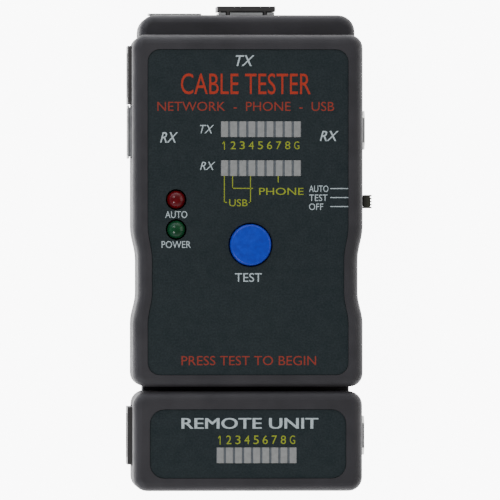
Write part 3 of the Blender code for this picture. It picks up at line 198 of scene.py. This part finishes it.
def moulded(name, dark, light, roughness, grain, grain_depth, specular=0.5, wear=0.0):
    """Moulded plastic: fine eroded grain, slow colour drift, and rubbed edges."""
    finish = Finish(name, roughness, specular=specular)
    drift = finish.noise(90.0, 2.0)
    colour = finish.blend(finish.remap(drift, 0.35, 0.65, 0.0, 1.0), dark, light)
    if wear:
        rubbed = tuple(min(1.0, 1.7 * channel + 0.03) for channel in light)
        edge = finish.edges(0.25 * MM)
        patch = finish.remap(finish.noise(700.0, 3.0), 0.35, 0.7, 0.0, wear)
        colour = finish.blend(finish.multiply(edge, patch), colour, rubbed)
    finish.colour(colour)
    sheen = finish.noise(350.0, 2.0)
    finish.roughness(finish.remap(sheen, 0.3, 0.7, roughness - 0.05, roughness + 0.07))
    coarse = finish.bump(finish.noise(grain, 4.0, 0.7), grain_depth)
    finish.bump(finish.spots(grain * 0.8), grain_depth * 0.6, 0.5, coarse)
    return finish.material


def metal(name, colour, roughness, streak, stretch):
    """Plated or rolled metal: fine streaks along one way, faint smudges in the roughness."""
    finish = Finish(name, roughness, metallic=1.0)
    shade = finish.noise(streak, 3.0, 0.6, stretch)
    darker = tuple(0.82 * channel for channel in colour)
    finish.colour(finish.blend(finish.remap(shade, 0.3, 0.7, 0.0, 1.0), darker, colour))
    smudge = finish.noise(260.0, 3.0)
    finish.roughness(finish.remap(smudge, 0.3, 0.7, roughness - 0.06, roughness + 0.10))
    finish.bump(shade, 0.01 * MM, 0.5)
    return finish.material


def make_materials():
    made = {}
    made["case"] = moulded("case_plastic", (0.0385, 0.0362, 0.0385), (0.0490, 0.0460, 0.0485),
                           0.50, 5200.0, 0.020 * MM, 0.32, 0.30)
    made["label"] = label_finish()
    made["jack_plastic"] = moulded("jack_plastic", (0.056, 0.052, 0.048), (0.072, 0.067, 0.062),
                                   0.42, 6500.0, 0.010 * MM, 0.5, 0.4)
    made["knob"] = moulded("knob_plastic", (0.038, 0.037, 0.025), (0.053, 0.051, 0.035),
                           0.48, 5200.0, 0.015 * MM, 0.5, 0.5)
    made["insert"] = moulded("insert_plastic", (0.62, 0.62, 0.59), (0.74, 0.74, 0.71),
                             0.42, 5200.0, 0.010 * MM)
    made["chip"] = moulded("chip_epoxy", (0.010, 0.010, 0.011), (0.016, 0.016, 0.017),
                           0.55, 7000.0, 0.015 * MM)
    made["snap"] = moulded("soft_vinyl", (0.010, 0.010, 0.010), (0.018, 0.018, 0.018),
                           0.60, 3500.0, 0.020 * MM)
    made["wire_red"] = moulded("wire_red", (0.36, 0.012, 0.010), (0.46, 0.020, 0.016),
                               0.42, 3500.0, 0.008 * MM)
    made["wire_black"] = moulded("wire_black", (0.010, 0.010, 0.010), (0.018, 0.018, 0.018),
                                 0.42, 3500.0, 0.008 * MM)
    made["resistor"] = moulded("resistor_coat", (0.40, 0.26, 0.05), (0.52, 0.36, 0.09),
                               0.35, 2500.0, 0.020 * MM)
    made["button"] = button_finish()
    made["tin_plate"] = metal("tin_plate", (0.86, 0.86, 0.82), 0.38, 900.0, (1.0, 1.0, 8.0))
    made["gold_plate"] = metal("gold_plate", (0.86, 0.64, 0.28), 0.22, 1500.0, (1.0, 4.0, 1.0))
    made["steel"] = metal("zinc_steel", (0.60, 0.60, 0.60), 0.32, 1500.0, (6.0, 1.0, 1.0))
    made["cell_jacket"] = metal("cell_jacket", (0.10, 0.10, 0.11), 0.34, 700.0, (1.0, 1.0, 6.0))
    made["board"] = board_finish()
    made["light_bar"] = bar_finish("bar_epoxy", (0.305, 0.308, 0.290), (0.360, 0.360, 0.342))
    made["bar_block"] = bar_finish("bar_block", (0.125, 0.138, 0.148), (0.150, 0.164, 0.174))
    made["red_lens"] = lens_finish("red_lens", (0.165, 0.0015, 0.005))
    made["green_lens"] = lens_finish("green_lens", (0.008, 0.090, 0.029))
    made["ink_white"] = ink_finish("ink_white", (0.64, 0.74, 0.74))
    made["ink_yellow"] = ink_finish("ink_yellow", (0.40, 0.46, 0.026))
    made["ink_red"] = ink_finish("ink_red", (0.52, 0.042, 0.016))
    made["ink_brick"] = ink_finish("ink_brick", (0.36, 0.045, 0.026))
    return made


def label_finish():
    """Printed polyester film: green-black with a faint speckle and a fine matt texture."""
    finish = Finish("label_film", 0.42, specular=0.45)
    speckle = finish.remap(finish.noise(2300.0, 4.0, 0.65), 0.40, 0.64, 0.0, 1.0)
    drift = finish.remap(finish.noise(60.0, 2.0), 0.35, 0.65, 0.0, 1.0)
    base = finish.blend(drift, (0.0075, 0.0155, 0.0175), (0.0095, 0.0180, 0.0190))
    finish.colour(finish.blend(speckle, base, (0.0205, 0.0310, 0.0325)))
    finish.roughness(finish.remap(finish.noise(400.0, 3.0), 0.3, 0.7, 0.36, 0.50))
    finish.bump(finish.noise(9000.0, 2.0), 0.006 * MM)
    return finish.material


def button_finish():
    """Satin blue cap with a random mottle, and a painted highlight of lighter blue along its rim.
    """
    finish = Finish("button_blue", 0.40, specular=0.45)
    mottle = finish.remap(finish.noise(700.0, 4.0, 0.6), 0.35, 0.68, 0.0, 1.0)
    base = finish.blend(mottle, (0.006, 0.032, 0.460), (0.009, 0.048, 0.620))
    # Painted highlight: the rim's edges are mixed towards a lighter blue.
    edge = finish.edges(0.30 * MM, 0.6, 0.99)
    finish.colour(finish.blend(finish.remap(edge, 0.0, 1.0, 0.0, 0.35), base, (0.05, 0.20, 0.75)))
    finish.roughness(finish.remap(finish.noise(500.0, 3.0), 0.3, 0.7, 0.34, 0.48))
    finish.bump(finish.noise(4200.0, 4.0, 0.7), 0.012 * MM)
    return finish.material


def board_finish():
    """Glass-epoxy board: green mask with the weave just showing through."""
    finish = Finish("board_mask", 0.30)
    weave = finish.node("ShaderNodeTexChecker")
    weave.inputs["Scale"].default_value = 1600.0
    weave.inputs["Color1"].default_value = (0.010, 0.085, 0.032, 1.0)
    weave.inputs["Color2"].default_value = (0.012, 0.105, 0.040, 1.0)
    finish.link(finish.place, weave.inputs["Vector"])
    drift = finish.remap(finish.noise(200.0, 3.0), 0.35, 0.65, 0.0, 0.5)
    finish.colour(finish.blend(drift, weave.outputs["Color"], (0.020, 0.13, 0.05)))
    finish.bump(finish.noise(3000.0, 3.0), 0.006 * MM)
    return finish.material


def bar_finish(name, dark, light):
    """Cast epoxy of the light segments: slightly cloudy, nearly smooth."""
    finish = Finish(name, 0.38, specular=0.4)
    cloud = finish.remap(finish.noise(900.0, 3.0), 0.35, 0.65, 0.0, 1.0)
    finish.colour(finish.blend(cloud, dark, light))
    finish.roughness(finish.remap(finish.noise(600.0, 2.0), 0.3, 0.7, 0.32, 0.46))
    finish.bump(finish.noise(5000.0, 3.0), 0.006 * MM)
    return finish.material


def lens_finish(name, tint):
    """Tinted clear epoxy of the round lights."""
    finish = Finish(name, 0.16, specular=0.3)
    finish.set("Transmission Weight", 0.12)
    finish.set("IOR", 1.5)
    deep = tuple(0.65 * channel for channel in tint)
    cloud = finish.remap(finish.noise(500.0, 3.0), 0.35, 0.65, 0.0, 1.0)
    finish.colour(finish.blend(cloud, deep, tint))
    finish.roughness(finish.remap(finish.noise(900.0, 2.0), 0.3, 0.7, 0.13, 0.19))
    return finish.material


def ink_finish(name, colour):
    """Screen ink: the colour broken up by fine pinholes in the print."""
    finish = Finish(name, 0.55, specular=0.3)
    holes = finish.remap(finish.noise(5200.0, 3.0, 0.7), 0.30, 0.55, 0.0, 1.0)
    thin = tuple(0.55 * channel for channel in colour)
    finish.colour(finish.blend(holes, thin, colour))
    finish.bump(finish.noise(8000.0, 2.0), 0.004 * MM)
    return finish.material


MATERIALS = make_materials()


# ---------------------------------------------------------------- mesh helpers

SAME_POINT = 1e-7    # corners closer than this are merged


def soften(obj, width, segments=2, limit=40.0):
    """Round an object's hard edges a little, and shade it smoothly across its flat faces."""
    bevel = obj.modifiers.new("Bevel", "BEVEL")
    bevel.width = width
    bevel.segments = segments
    bevel.limit_method = "ANGLE"
    bevel.angle_limit = math.radians(limit)
    normals = obj.modifiers.new("WeightedNormal", "WEIGHTED_NORMAL")
    normals.weight = 100
    obj.data.shade_smooth()


def piece(name, mesh, finish, body):
    """A finished object that rides on a body."""
    mesh.name = name
    obj = bpy.data.objects.new(name, mesh)
    bpy.context.scene.collection.objects.link(obj)
    obj.data.materials.clear()
    obj.data.materials.append(MATERIALS[finish])
    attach(obj, body)
    return obj


def mesh_of(shape):
    """A mesh from a bmesh, which is freed."""
    bmesh.ops.recalc_face_normals(shape, faces=shape.faces)
    mesh = bpy.data.meshes.new("shape")
    shape.to_mesh(mesh)
    shape.free()
    return mesh


def add_box(shape, low, high):
    """Add a box between two corners to a bmesh."""
    size = [high[axis] - low[axis] for axis in range(3)]
    middle = [(high[axis] + low[axis]) / 2 for axis in range(3)]
    made = bmesh.ops.create_cube(shape, size=1.0)["verts"]
    bmesh.ops.scale(shape, vec=size, verts=made)
    bmesh.ops.translate(shape, vec=middle, verts=made)


def turned_mesh(profile, centre, steps):
    """A closed shape turned about Z from a profile of radius and height, top to bottom."""
    shape = bmesh.new()
    points = [shape.verts.new((radius, 0.0, height)) for radius, height in profile]
    edges = [shape.edges.new(pair) for pair in zip(points, points[1:])]
    bmesh.ops.spin(shape, geom=points + edges, angle=math.tau, steps=steps, axis=(0, 0, 1),
                   cent=(0, 0, 0))
    bmesh.ops.remove_doubles(shape, verts=shape.verts, dist=SAME_POINT)
    bmesh.ops.translate(shape, vec=(centre.x, centre.y, 0.0), verts=shape.verts)
    return mesh_of(shape)


def arc(centre, radius, start, stop, steps):
    """Points along an arc of a profile, by angle in degrees."""
    points = []
    for index in range(steps + 1):
        angle = math.radians(start + (stop - start) * index / steps)
        points.append((max(0.0, centre[0] + radius * math.cos(angle)),
                       centre[1] + radius * math.sin(angle)))
    return points


def fitted_copy(node, amount, keep_clear):
    """A copy of a flat CAD node, its upright faces moved out, but not near the given points."""
    shape = bmesh.new()
    shape.from_mesh(NODES[node].data)
    bmesh.ops.remove_doubles(shape, verts=shape.verts, dist=SAME_POINT)
    moves = []
    for vert in shape.verts:
        if any((vert.co.xy - spot).length < reach for spot, reach in keep_clear):
            continue
        # The directions of the upright faces that meet here, each once
        ways = []
        for face in vert.link_faces:
            way = face.normal
            if abs(way.z) < 0.5 and all(way.dot(other) < 0.999 for other in ways):
                ways.append(way.copy())
        if len(ways) == 2:
            moves.append((vert, (ways[0] + ways[1]) * amount / (1.0 + ways[0].dot(ways[1]))))
        elif ways:
            moves.append((vert, ways[0] * amount))
    for vert, move in moves:
        vert.co += move
    bmesh.ops.dissolve_limit(shape, angle_limit=math.radians(1.0), verts=shape.verts,
                             edges=shape.edges)
    return mesh_of(shape)


# Rounding of the hard edges of CAD nodes, in mm
EDGE_WIDTH = 0.06
EDGE_WIDTHS = {"front_shell": 0.12, "rear_shell": 0.12, "remote_front_shell": 0.12,
               "remote_rear_shell": 0.12, "battery_door": 0.12, "slide_switch_knob": 0.08}


def dress_cad_nodes():
    """Give every CAD node its slot's material, and soften its hard edges."""
    slots = {part["node"]: part["material_slot"] for part in frame["record"]["subparts"]}
    for name, obj in NODES.items():
        obj.data.materials.clear()
        obj.data.materials.append(MATERIALS[slots[name]])
        weld = obj.modifiers.new("Weld", "WELD")
        weld.merge_threshold = 1e-6
        soften(obj, EDGE_WIDTHS.get(name, EDGE_WIDTH) * MM)


def joined_mesh(parts):
    """Join shapes, each a mesh with its own placing matrix, into one mesh."""
    joined = bmesh.new()
    for mesh, matrix in parts:
        mesh.transform(matrix)
        joined.from_mesh(mesh)
        bpy.data.meshes.remove(mesh)
    return mesh_of(joined)


INK_DEPTH = 0.015 * MM
INK_SUNK = 0.004 * MM      # how far print reaches into the film
CURVE_STEPS = 4            # points along each curve of a letter


def text_mesh(words, height, width, slant, weight):
    """Words as a mesh INK_DEPTH thick, scaled to a capital height and a width."""
    curve = bpy.data.curves.new("words", "FONT")
    curve.body = words
    curve.shear = slant
    curve.offset = weight
    curve.extrude = 0.5    # one unit thick in all, until it is scaled
    curve.resolution_u = CURVE_STEPS
    obj = bpy.data.objects.new("words", curve)
    bpy.context.scene.collection.objects.link(obj)
    depsgraph = bpy.context.evaluated_depsgraph_get()
    mesh = bpy.data.meshes.new_from_object(obj.evaluated_get(depsgraph))
    bpy.data.objects.remove(obj, do_unlink=True)
    low = [min(vert.co[axis] for vert in mesh.vertices) for axis in range(3)]
    high = [max(vert.co[axis] for vert in mesh.vertices) for axis in range(3)]
    mesh.transform(Matrix.Translation([-(low[0] + high[0]) / 2, -(low[1] + high[1]) / 2, 0.0]))
    across = width / (high[0] - low[0])
    rise = height / (high[1] - low[1])
    mesh.transform(Matrix.Diagonal((across, rise, INK_DEPTH, 1.0)))
    return mesh


def stroke_mesh(start, stop, width):
    """A straight printed line between two points in the label's plane."""
    start = Vector(start)
    stop = Vector(stop)
    along = stop - start
    shape = bmesh.new()
    bmesh.ops.create_cube(shape, size=1.0)
    bmesh.ops.scale(shape, vec=(along.length + width, width, INK_DEPTH), verts=shape.verts)
    turn = Matrix.Rotation(math.atan2(along.y, along.x), 4, "Z")
    middle = (start + stop) / 2
    bmesh.ops.transform(shape, matrix=turn, verts=shape.verts)
    bmesh.ops.translate(shape, vec=(middle.x, middle.y, 0.0), verts=shape.verts)
    return mesh_of(shape)


dress_cad_nodes()


# ---------------------------------------------------------------- lights, button and labels

FILM_SPREAD = 0.24 * MM    # by how much the film's outline and cut-outs grow, to meet the frame
WINDOWS = 9                # in each row of lights
WINDOW_PITCH = 2.43        # mm


def middle_of(node):
    """The middle of a CAD node's box."""
    low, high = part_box(node)
    return (low + high) / 2


def make_label(name, node, body, holes):
    """The printed film, grown to meet the frame and the light rows, but not at its round holes."""
    keep_clear = [(middle_of(filling).xy, reach) for filling, reach in holes]
    mesh = fitted_copy(node, FILM_SPREAD, keep_clear)
    label = piece(name, mesh, "label", body)
    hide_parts(node)
    soften(label, 0.05 * MM)


def light_row(name, node, body, plane):
    """Nine epoxy windows standing proud of a darker block that has a low rib between each two."""
    low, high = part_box(node)
    middle = (low + high) / 2
    pitch = WINDOW_PITCH * MM
    half_window = 0.91 * MM
    half_rib = 0.12 * MM
    rib_inset = 0.2 * MM
    rib_rise = 0.06 * MM
    rim = 0.03 * MM
    block_top = plane - 0.16 * MM
    root = block_top - 0.3 * MM    # foot of the ribs and windows, inside the block
    shape = bmesh.new()
    add_box(shape, (low.x, low.y, low.z), (high.x, high.y, block_top))
    for index in range(WINDOWS - 1):
        x = middle.x + (index - (WINDOWS - 2) / 2) * pitch
        add_box(shape, (x - half_rib, low.y + rib_inset, root),
                (x + half_rib, high.y - rib_inset, block_top + rib_rise))
    block = piece(name + "_block", mesh_of(shape), "bar_block", body)
    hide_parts(node)
    soften(block, 0.04 * MM)
    shape = bmesh.new()
    for index in range(WINDOWS):
        x = middle.x + (index - (WINDOWS - 1) / 2) * pitch
        left = max(x - half_window, low.x + rim)
        right = min(x + half_window, high.x - rim)
        add_box(shape, (left, low.y + rim, root), (right, high.y - rim, plane - 0.02 * MM))
    windows = piece(name + "_windows", mesh_of(shape), "light_bar", body)
    soften(windows, 0.10 * MM, 3)


def round_light(name, node, finish, body):
    """A domed epoxy lens with its cup and post of lead frame inside."""
    low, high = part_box(node)
    middle = (low + high) / 2
    radius = 2.5 * MM
    flange_top = low.z + 1.0 * MM
    outline = arc((0.0, high.z - radius), radius, 90.0, 0.0, 18)
    outline += [(radius, flange_top), (high.x - middle.x, flange_top),
                (high.x - middle.x, low.z), (0.0, low.z)]
    lens = piece(name, turned_mesh(outline, middle, 64), finish, body)
    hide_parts(node)
    soften(lens, 0.04 * MM, 2, 60.0)

    cup_top = high.z - 2.9 * MM
    cup_floor = cup_top - 0.45 * MM
    cup_radius = 1.05 * MM
    stem_radius = 0.5 * MM
    cup = [(0.0, cup_floor), (0.45 * MM, cup_floor), (0.85 * MM, cup_top),
           (cup_radius, cup_top), (cup_radius, cup_top - 0.9 * MM),
           (stem_radius, cup_top - 1.3 * MM), (stem_radius, flange_top), (0.0, flange_top)]
    centre = middle + Vector((0.25 * MM, 0.0, 0.0))
    post = middle.x - 1.35 * MM
    half_width = 0.22 * MM
    half_depth = 0.35 * MM
    shape = bmesh.new()
    add_box(shape, (post - half_width, middle.y - half_depth, flange_top),
            (post + half_width, middle.y + half_depth, cup_top + 0.1 * MM))
    frame_mesh = joined_mesh([(turned_mesh(cup, centre, 32), Matrix.Identity(4)),
                              (mesh_of(shape), Matrix.Identity(4))])
    soften(piece(name + "_lead_frame", frame_mesh, "steel", body), 0.04 * MM)


def make_button():
    """A turned cap with a gently domed face, a rounded rim and the flange that holds it in."""
    low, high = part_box("test_button")
    middle = (low + high) / 2
    radius = 5.5 * MM
    rim = 0.75 * MM
    crown = 0.30 * MM
    face = radius - rim
    face_steps = 12
    flange_top = low.z + 0.8 * MM
    outline = [(face * step / face_steps, high.z - crown * (step / face_steps) ** 2)
               for step in range(face_steps)]
    outline += arc((face, high.z - crown - rim), rim, 90.0, 0.0, 10)
    outline += [(radius, flange_top), (high.x - middle.x, flange_top),
                (high.x - middle.x, low.z), (0.0, low.z)]
    cap = piece("button_cap", turned_mesh(outline, middle, 96), "button", "button")
    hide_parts("test_button")
    soften(cap, 0.05 * MM, 2, 60.0)


make_label("label_film", "front_label", MAIN,
           (("auto_led", 4.0 * MM), ("power_led", 4.0 * MM), ("test_button", 8.0 * MM)))
make_label("remote_label_film", "remote_label", REMOTE, ())
light_row("tx_lights", "tx_light_bar", MAIN, LABEL_HIGH.z)
light_row("rx_lights", "rx_light_bar", MAIN, LABEL_HIGH.z)
light_row("remote_lights", "remote_light_bar", REMOTE, REMOTE_LABEL_HIGH.z)
round_light("auto_light", "auto_led", "red_lens", MAIN)
round_light("power_light", "power_led", "green_lens", MAIN)
make_button()


# ---------------------------------------------------------------- printed markings

LINE = 0.24 * MM


def at(x, down, top, plane):
    """Where print goes: x from the centreline and down from a unit's top edge, both in mm."""
    return Matrix.Translation((x * MM, top - down * MM, plane + INK_DEPTH / 2 - INK_SUNK))


def words_at(rows, top, plane):
    """Words from rows of text, x, down, capital height, width, slant and weight, all in mm."""
    return [(text_mesh(words, height * MM, width * MM, slant, weight), at(x, down, top, plane))
            for words, x, down, height, width, slant, weight in rows]


def lines_at(rows, top, plane):
    """Lines from rows of start and end, each x and down in mm."""
    lines = []
    for (x0, down0), (x1, down1) in rows:
        mesh = stroke_mesh((x0 * MM, -down0 * MM), (x1 * MM, -down1 * MM), LINE)
        lines.append((mesh, at(0.0, 0.0, top, plane)))
    return lines


def numbers_at(node, down, height, top, plane):
    """The row of wire numbers, one over or under each window of a light row, sizes in mm."""
    middle = middle_of(node).x / MM
    digit_width = 1.4
    shift = 0.15
    parts = []
    for index, digit in enumerate("12345678G"):
        x = middle + (index - (WINDOWS - 1) / 2) * WINDOW_PITCH - shift
        if digit == "1":
            # Fitted to that width the font's 1 would be far too broad, so it is drawn
            half = height / 2
            head = (x + 0.1, down - half)
            foot = (x + 0.1, down + half)
            flag = (x - 0.35, down - 0.45 * half)
            parts += lines_at(((head, foot), (head, flag)), top, plane)
        else:
            parts += words_at(((digit, x, down, height, digit_width, 0.0, 0.0),), top, plane)
    return parts


def print_main_label():
    top = MAIN_TOP
    plane = LABEL_HIGH.z
    light_x = middle_of("auto_led").x / MM
    edge = LABEL_HIGH.x / MM + 0.15    # switch lines run just onto the widened film
    white = words_at((
        ("TX", -0.8, 7.0, 2.9, 5.0, 0.30, 0.005),
        ("TX", -11.0, 25.3, 2.25, 3.75, 0.30, 0.0),
        ("RX", -10.8, 35.1, 2.15, 4.1, 0.30, 0.0),
        ("RX", -21.1, 27.5, 2.8, 4.8, 0.30, 0.005),
        ("RX", 21.7, 27.1, 2.7, 5.05, 0.30, 0.005),
        ("AUTO", light_x, 48.1, 1.85, 5.9, 0.0, 0.0),
        ("POWER", light_x, 56.1, 1.85, 7.8, 0.0, 0.0),
        ("TEST", 0.1, 64.9, 2.35, 7.2, 0.0, 0.0),
        ("AUTO", 18.9, 41.2, 1.75, 5.2, 0.0, 0.0),
        ("TEST", 18.8, 43.6, 1.75, 4.9, 0.0, 0.0),
        ("OFF", 18.2, 46.0, 1.75, 3.8, 0.0, 0.0)), top, plane)
    white += lines_at([((22.1, down), (edge, down)) for down in (41.15, 43.55, 45.95)], top, plane)
    piece("print_white", joined_mesh(white), "ink_white", MAIN)

    yellow = numbers_at("tx_light_bar", 29.6, 2.1, top, plane)
    yellow += words_at((("USB", -2.6, 44.95, 1.9, 4.9, 0.0, 0.0),
                        ("PHONE", 8.9, 41.9, 1.9, 11.9, 0.0, 0.0)), top, plane)
    yellow += lines_at((((-6.35, 37.9), (-6.35, 44.85)), ((-6.35, 44.85), (-5.75, 44.85)),
                        ((-4.15, 37.9), (-4.15, 41.1)), ((-4.15, 41.1), (1.2, 41.1)),
                        ((0.65, 37.9), (0.65, 44.85)), ((0.65, 44.85), (0.3, 44.85)),
                        ((8.05, 37.9), (8.05, 39.4))), top, plane)
    piece("print_yellow", joined_mesh(yellow), "ink_yellow", MAIN)

    red = words_at((("CABLE TESTER", -0.6, 13.2, 5.6, 34.7, 0.0, 0.0),), top, plane)
    piece("print_red", joined_mesh(red), "ink_red", MAIN)
    brick = words_at((("NETWORK  -  PHONE  -  USB", -0.6, 19.2, 2.45, 47.3, 0.0, 0.0),
                      ("PRESS TEST TO BEGIN", 0.2, 87.1, 2.5, 36.0, 0.0, 0.0)), top, plane)
    piece("print_brick", joined_mesh(brick), "ink_brick", MAIN)


def print_remote_label():
    top = REMOTE_HIGH.y
    plane = REMOTE_LABEL_HIGH.z
    white = []
    # Two copies, the second shifted and just proud of the first, make the strokes bolder
    for x, rise in ((0.4, 0.0), (0.6, 0.003 * MM)):
        white += words_at((("REMOTE UNIT", x, 8.55, 2.9, 36.4, 0.0, 0.0),), top, plane + rise)
    piece("remote_print_white", joined_mesh(white), "ink_white", REMOTE)
    yellow = numbers_at("remote_light_bar", 12.95, 2.3, top, plane)
    piece("remote_print_yellow", joined_mesh(yellow), "ink_yellow", REMOTE)


print_main_label()
print_remote_label()


# ---------------------------------------------------------------- stage, light and camera

def add_floor():
    """A pale table lit from below: near white in the picture, and gentler on the case's sides."""
    half_side = 1.5
    gap = 0.02 * MM    # under the lowest point of the object
    glow_on_objects = 2.6
    glow_in_picture = 9.0
    shape = bmesh.new()
    bmesh.ops.create_grid(shape, x_segments=1, y_segments=1, size=half_side)
    floor = bpy.data.objects.new("floor", mesh_of(shape))
    floor.location.z = cad_low.z - gap
    bpy.context.scene.collection.objects.link(floor)
    finish = Finish("floor_table", 0.9, specular=0.2)
    finish.set("Base Color", (0.90, 0.90, 0.90, 1.0))
    finish.set("Emission Color", (1.0, 1.0, 1.0, 1.0))
    seen = finish.node("ShaderNodeLightPath").outputs["Is Camera Ray"]
    glow = finish.remap(seen, 0.0, 1.0, glow_on_objects, glow_in_picture)
    finish.link(glow, finish.shader.inputs["Emission Strength"])
    floor.data.materials.append(finish.material)


def add_area_light(name, position, size, power):
    """A white rectangular light, its power in watts, turned to face the object."""
    target = Vector((0.0, -0.01, 0.0))
    light = bpy.data.lights.new(name, "AREA")
    light.shape = "RECTANGLE"
    light.size = size[0]
    light.size_y = size[1]
    light.energy = power
    obj = bpy.data.objects.new(name, light)
    obj.location = position
    way = target - Vector(position)
    obj.rotation_euler = way.to_track_quat("-Z", "Y").to_euler()
    bpy.context.scene.collection.objects.link(obj)


def add_world():
    """White surroundings: bright low down at both ends, most at the far one, dim overhead."""
    world = bpy.data.worlds.new("studio")
    world.use_nodes = True
    nodes = Nodes(world.node_tree)
    background = nodes.tree.nodes["Background"]
    split = nodes.node("ShaderNodeSeparateXYZ")
    nodes.link(nodes.node("ShaderNodeTexCoord").outputs["Generated"], split.inputs[0])
    across, along, up = split.outputs
    height = nodes.remap(up, 0.15, 0.75, 1.1, 0.22)
    sides = nodes.remap(nodes.multiply(across, across), 0.0, 0.8, 1.25, 0.40)
    far_end = nodes.remap(along, 0.1, 0.9, 1.0, 1.7)
    strength = nodes.multiply(nodes.multiply(height, sides), far_end)
    nodes.link(strength, background.inputs["Strength"])
    warmth = nodes.remap(across, -0.8, 0.5, 0.0, 1.0)
    tint = nodes.blend(warmth, (0.80, 0.90, 1.15), (1.0, 0.99, 0.99))
    nodes.link(tint, background.inputs["Color"])
    bpy.context.scene.world = world


def add_camera():
    """Straight down on the front, from a little to the left."""
    view_width = 133.5 * MM
    distance = 2.2
    lean = math.radians(2.8)
    sensor = 36.0    # mm
    target = Vector((0.50 * MM, -10.51 * MM, FRONT))
    camera = bpy.data.cameras.new("camera")
    camera.sensor_width = sensor
    camera.lens = sensor * distance / view_width
    camera.clip_start = 0.01
    obj = bpy.data.objects.new("camera", camera)
    obj.location = target + distance * Vector((-math.sin(lean), 0.0, math.cos(lean)))
    obj.rotation_euler = (0.0, -lean, 0.0)
    bpy.context.scene.collection.objects.link(obj)
    bpy.context.scene.camera = obj


add_floor()
add_world()
add_area_light("key", (-0.42, -0.50, 0.62), (0.22, 0.22), 2.2)
add_area_light("fill", (-0.38, 0.45, 0.62), (0.30, 0.30), 1.4)
add_area_light("side", (0.75, 0.10, 0.35), (0.6, 0.5), 1.2)
add_camera()
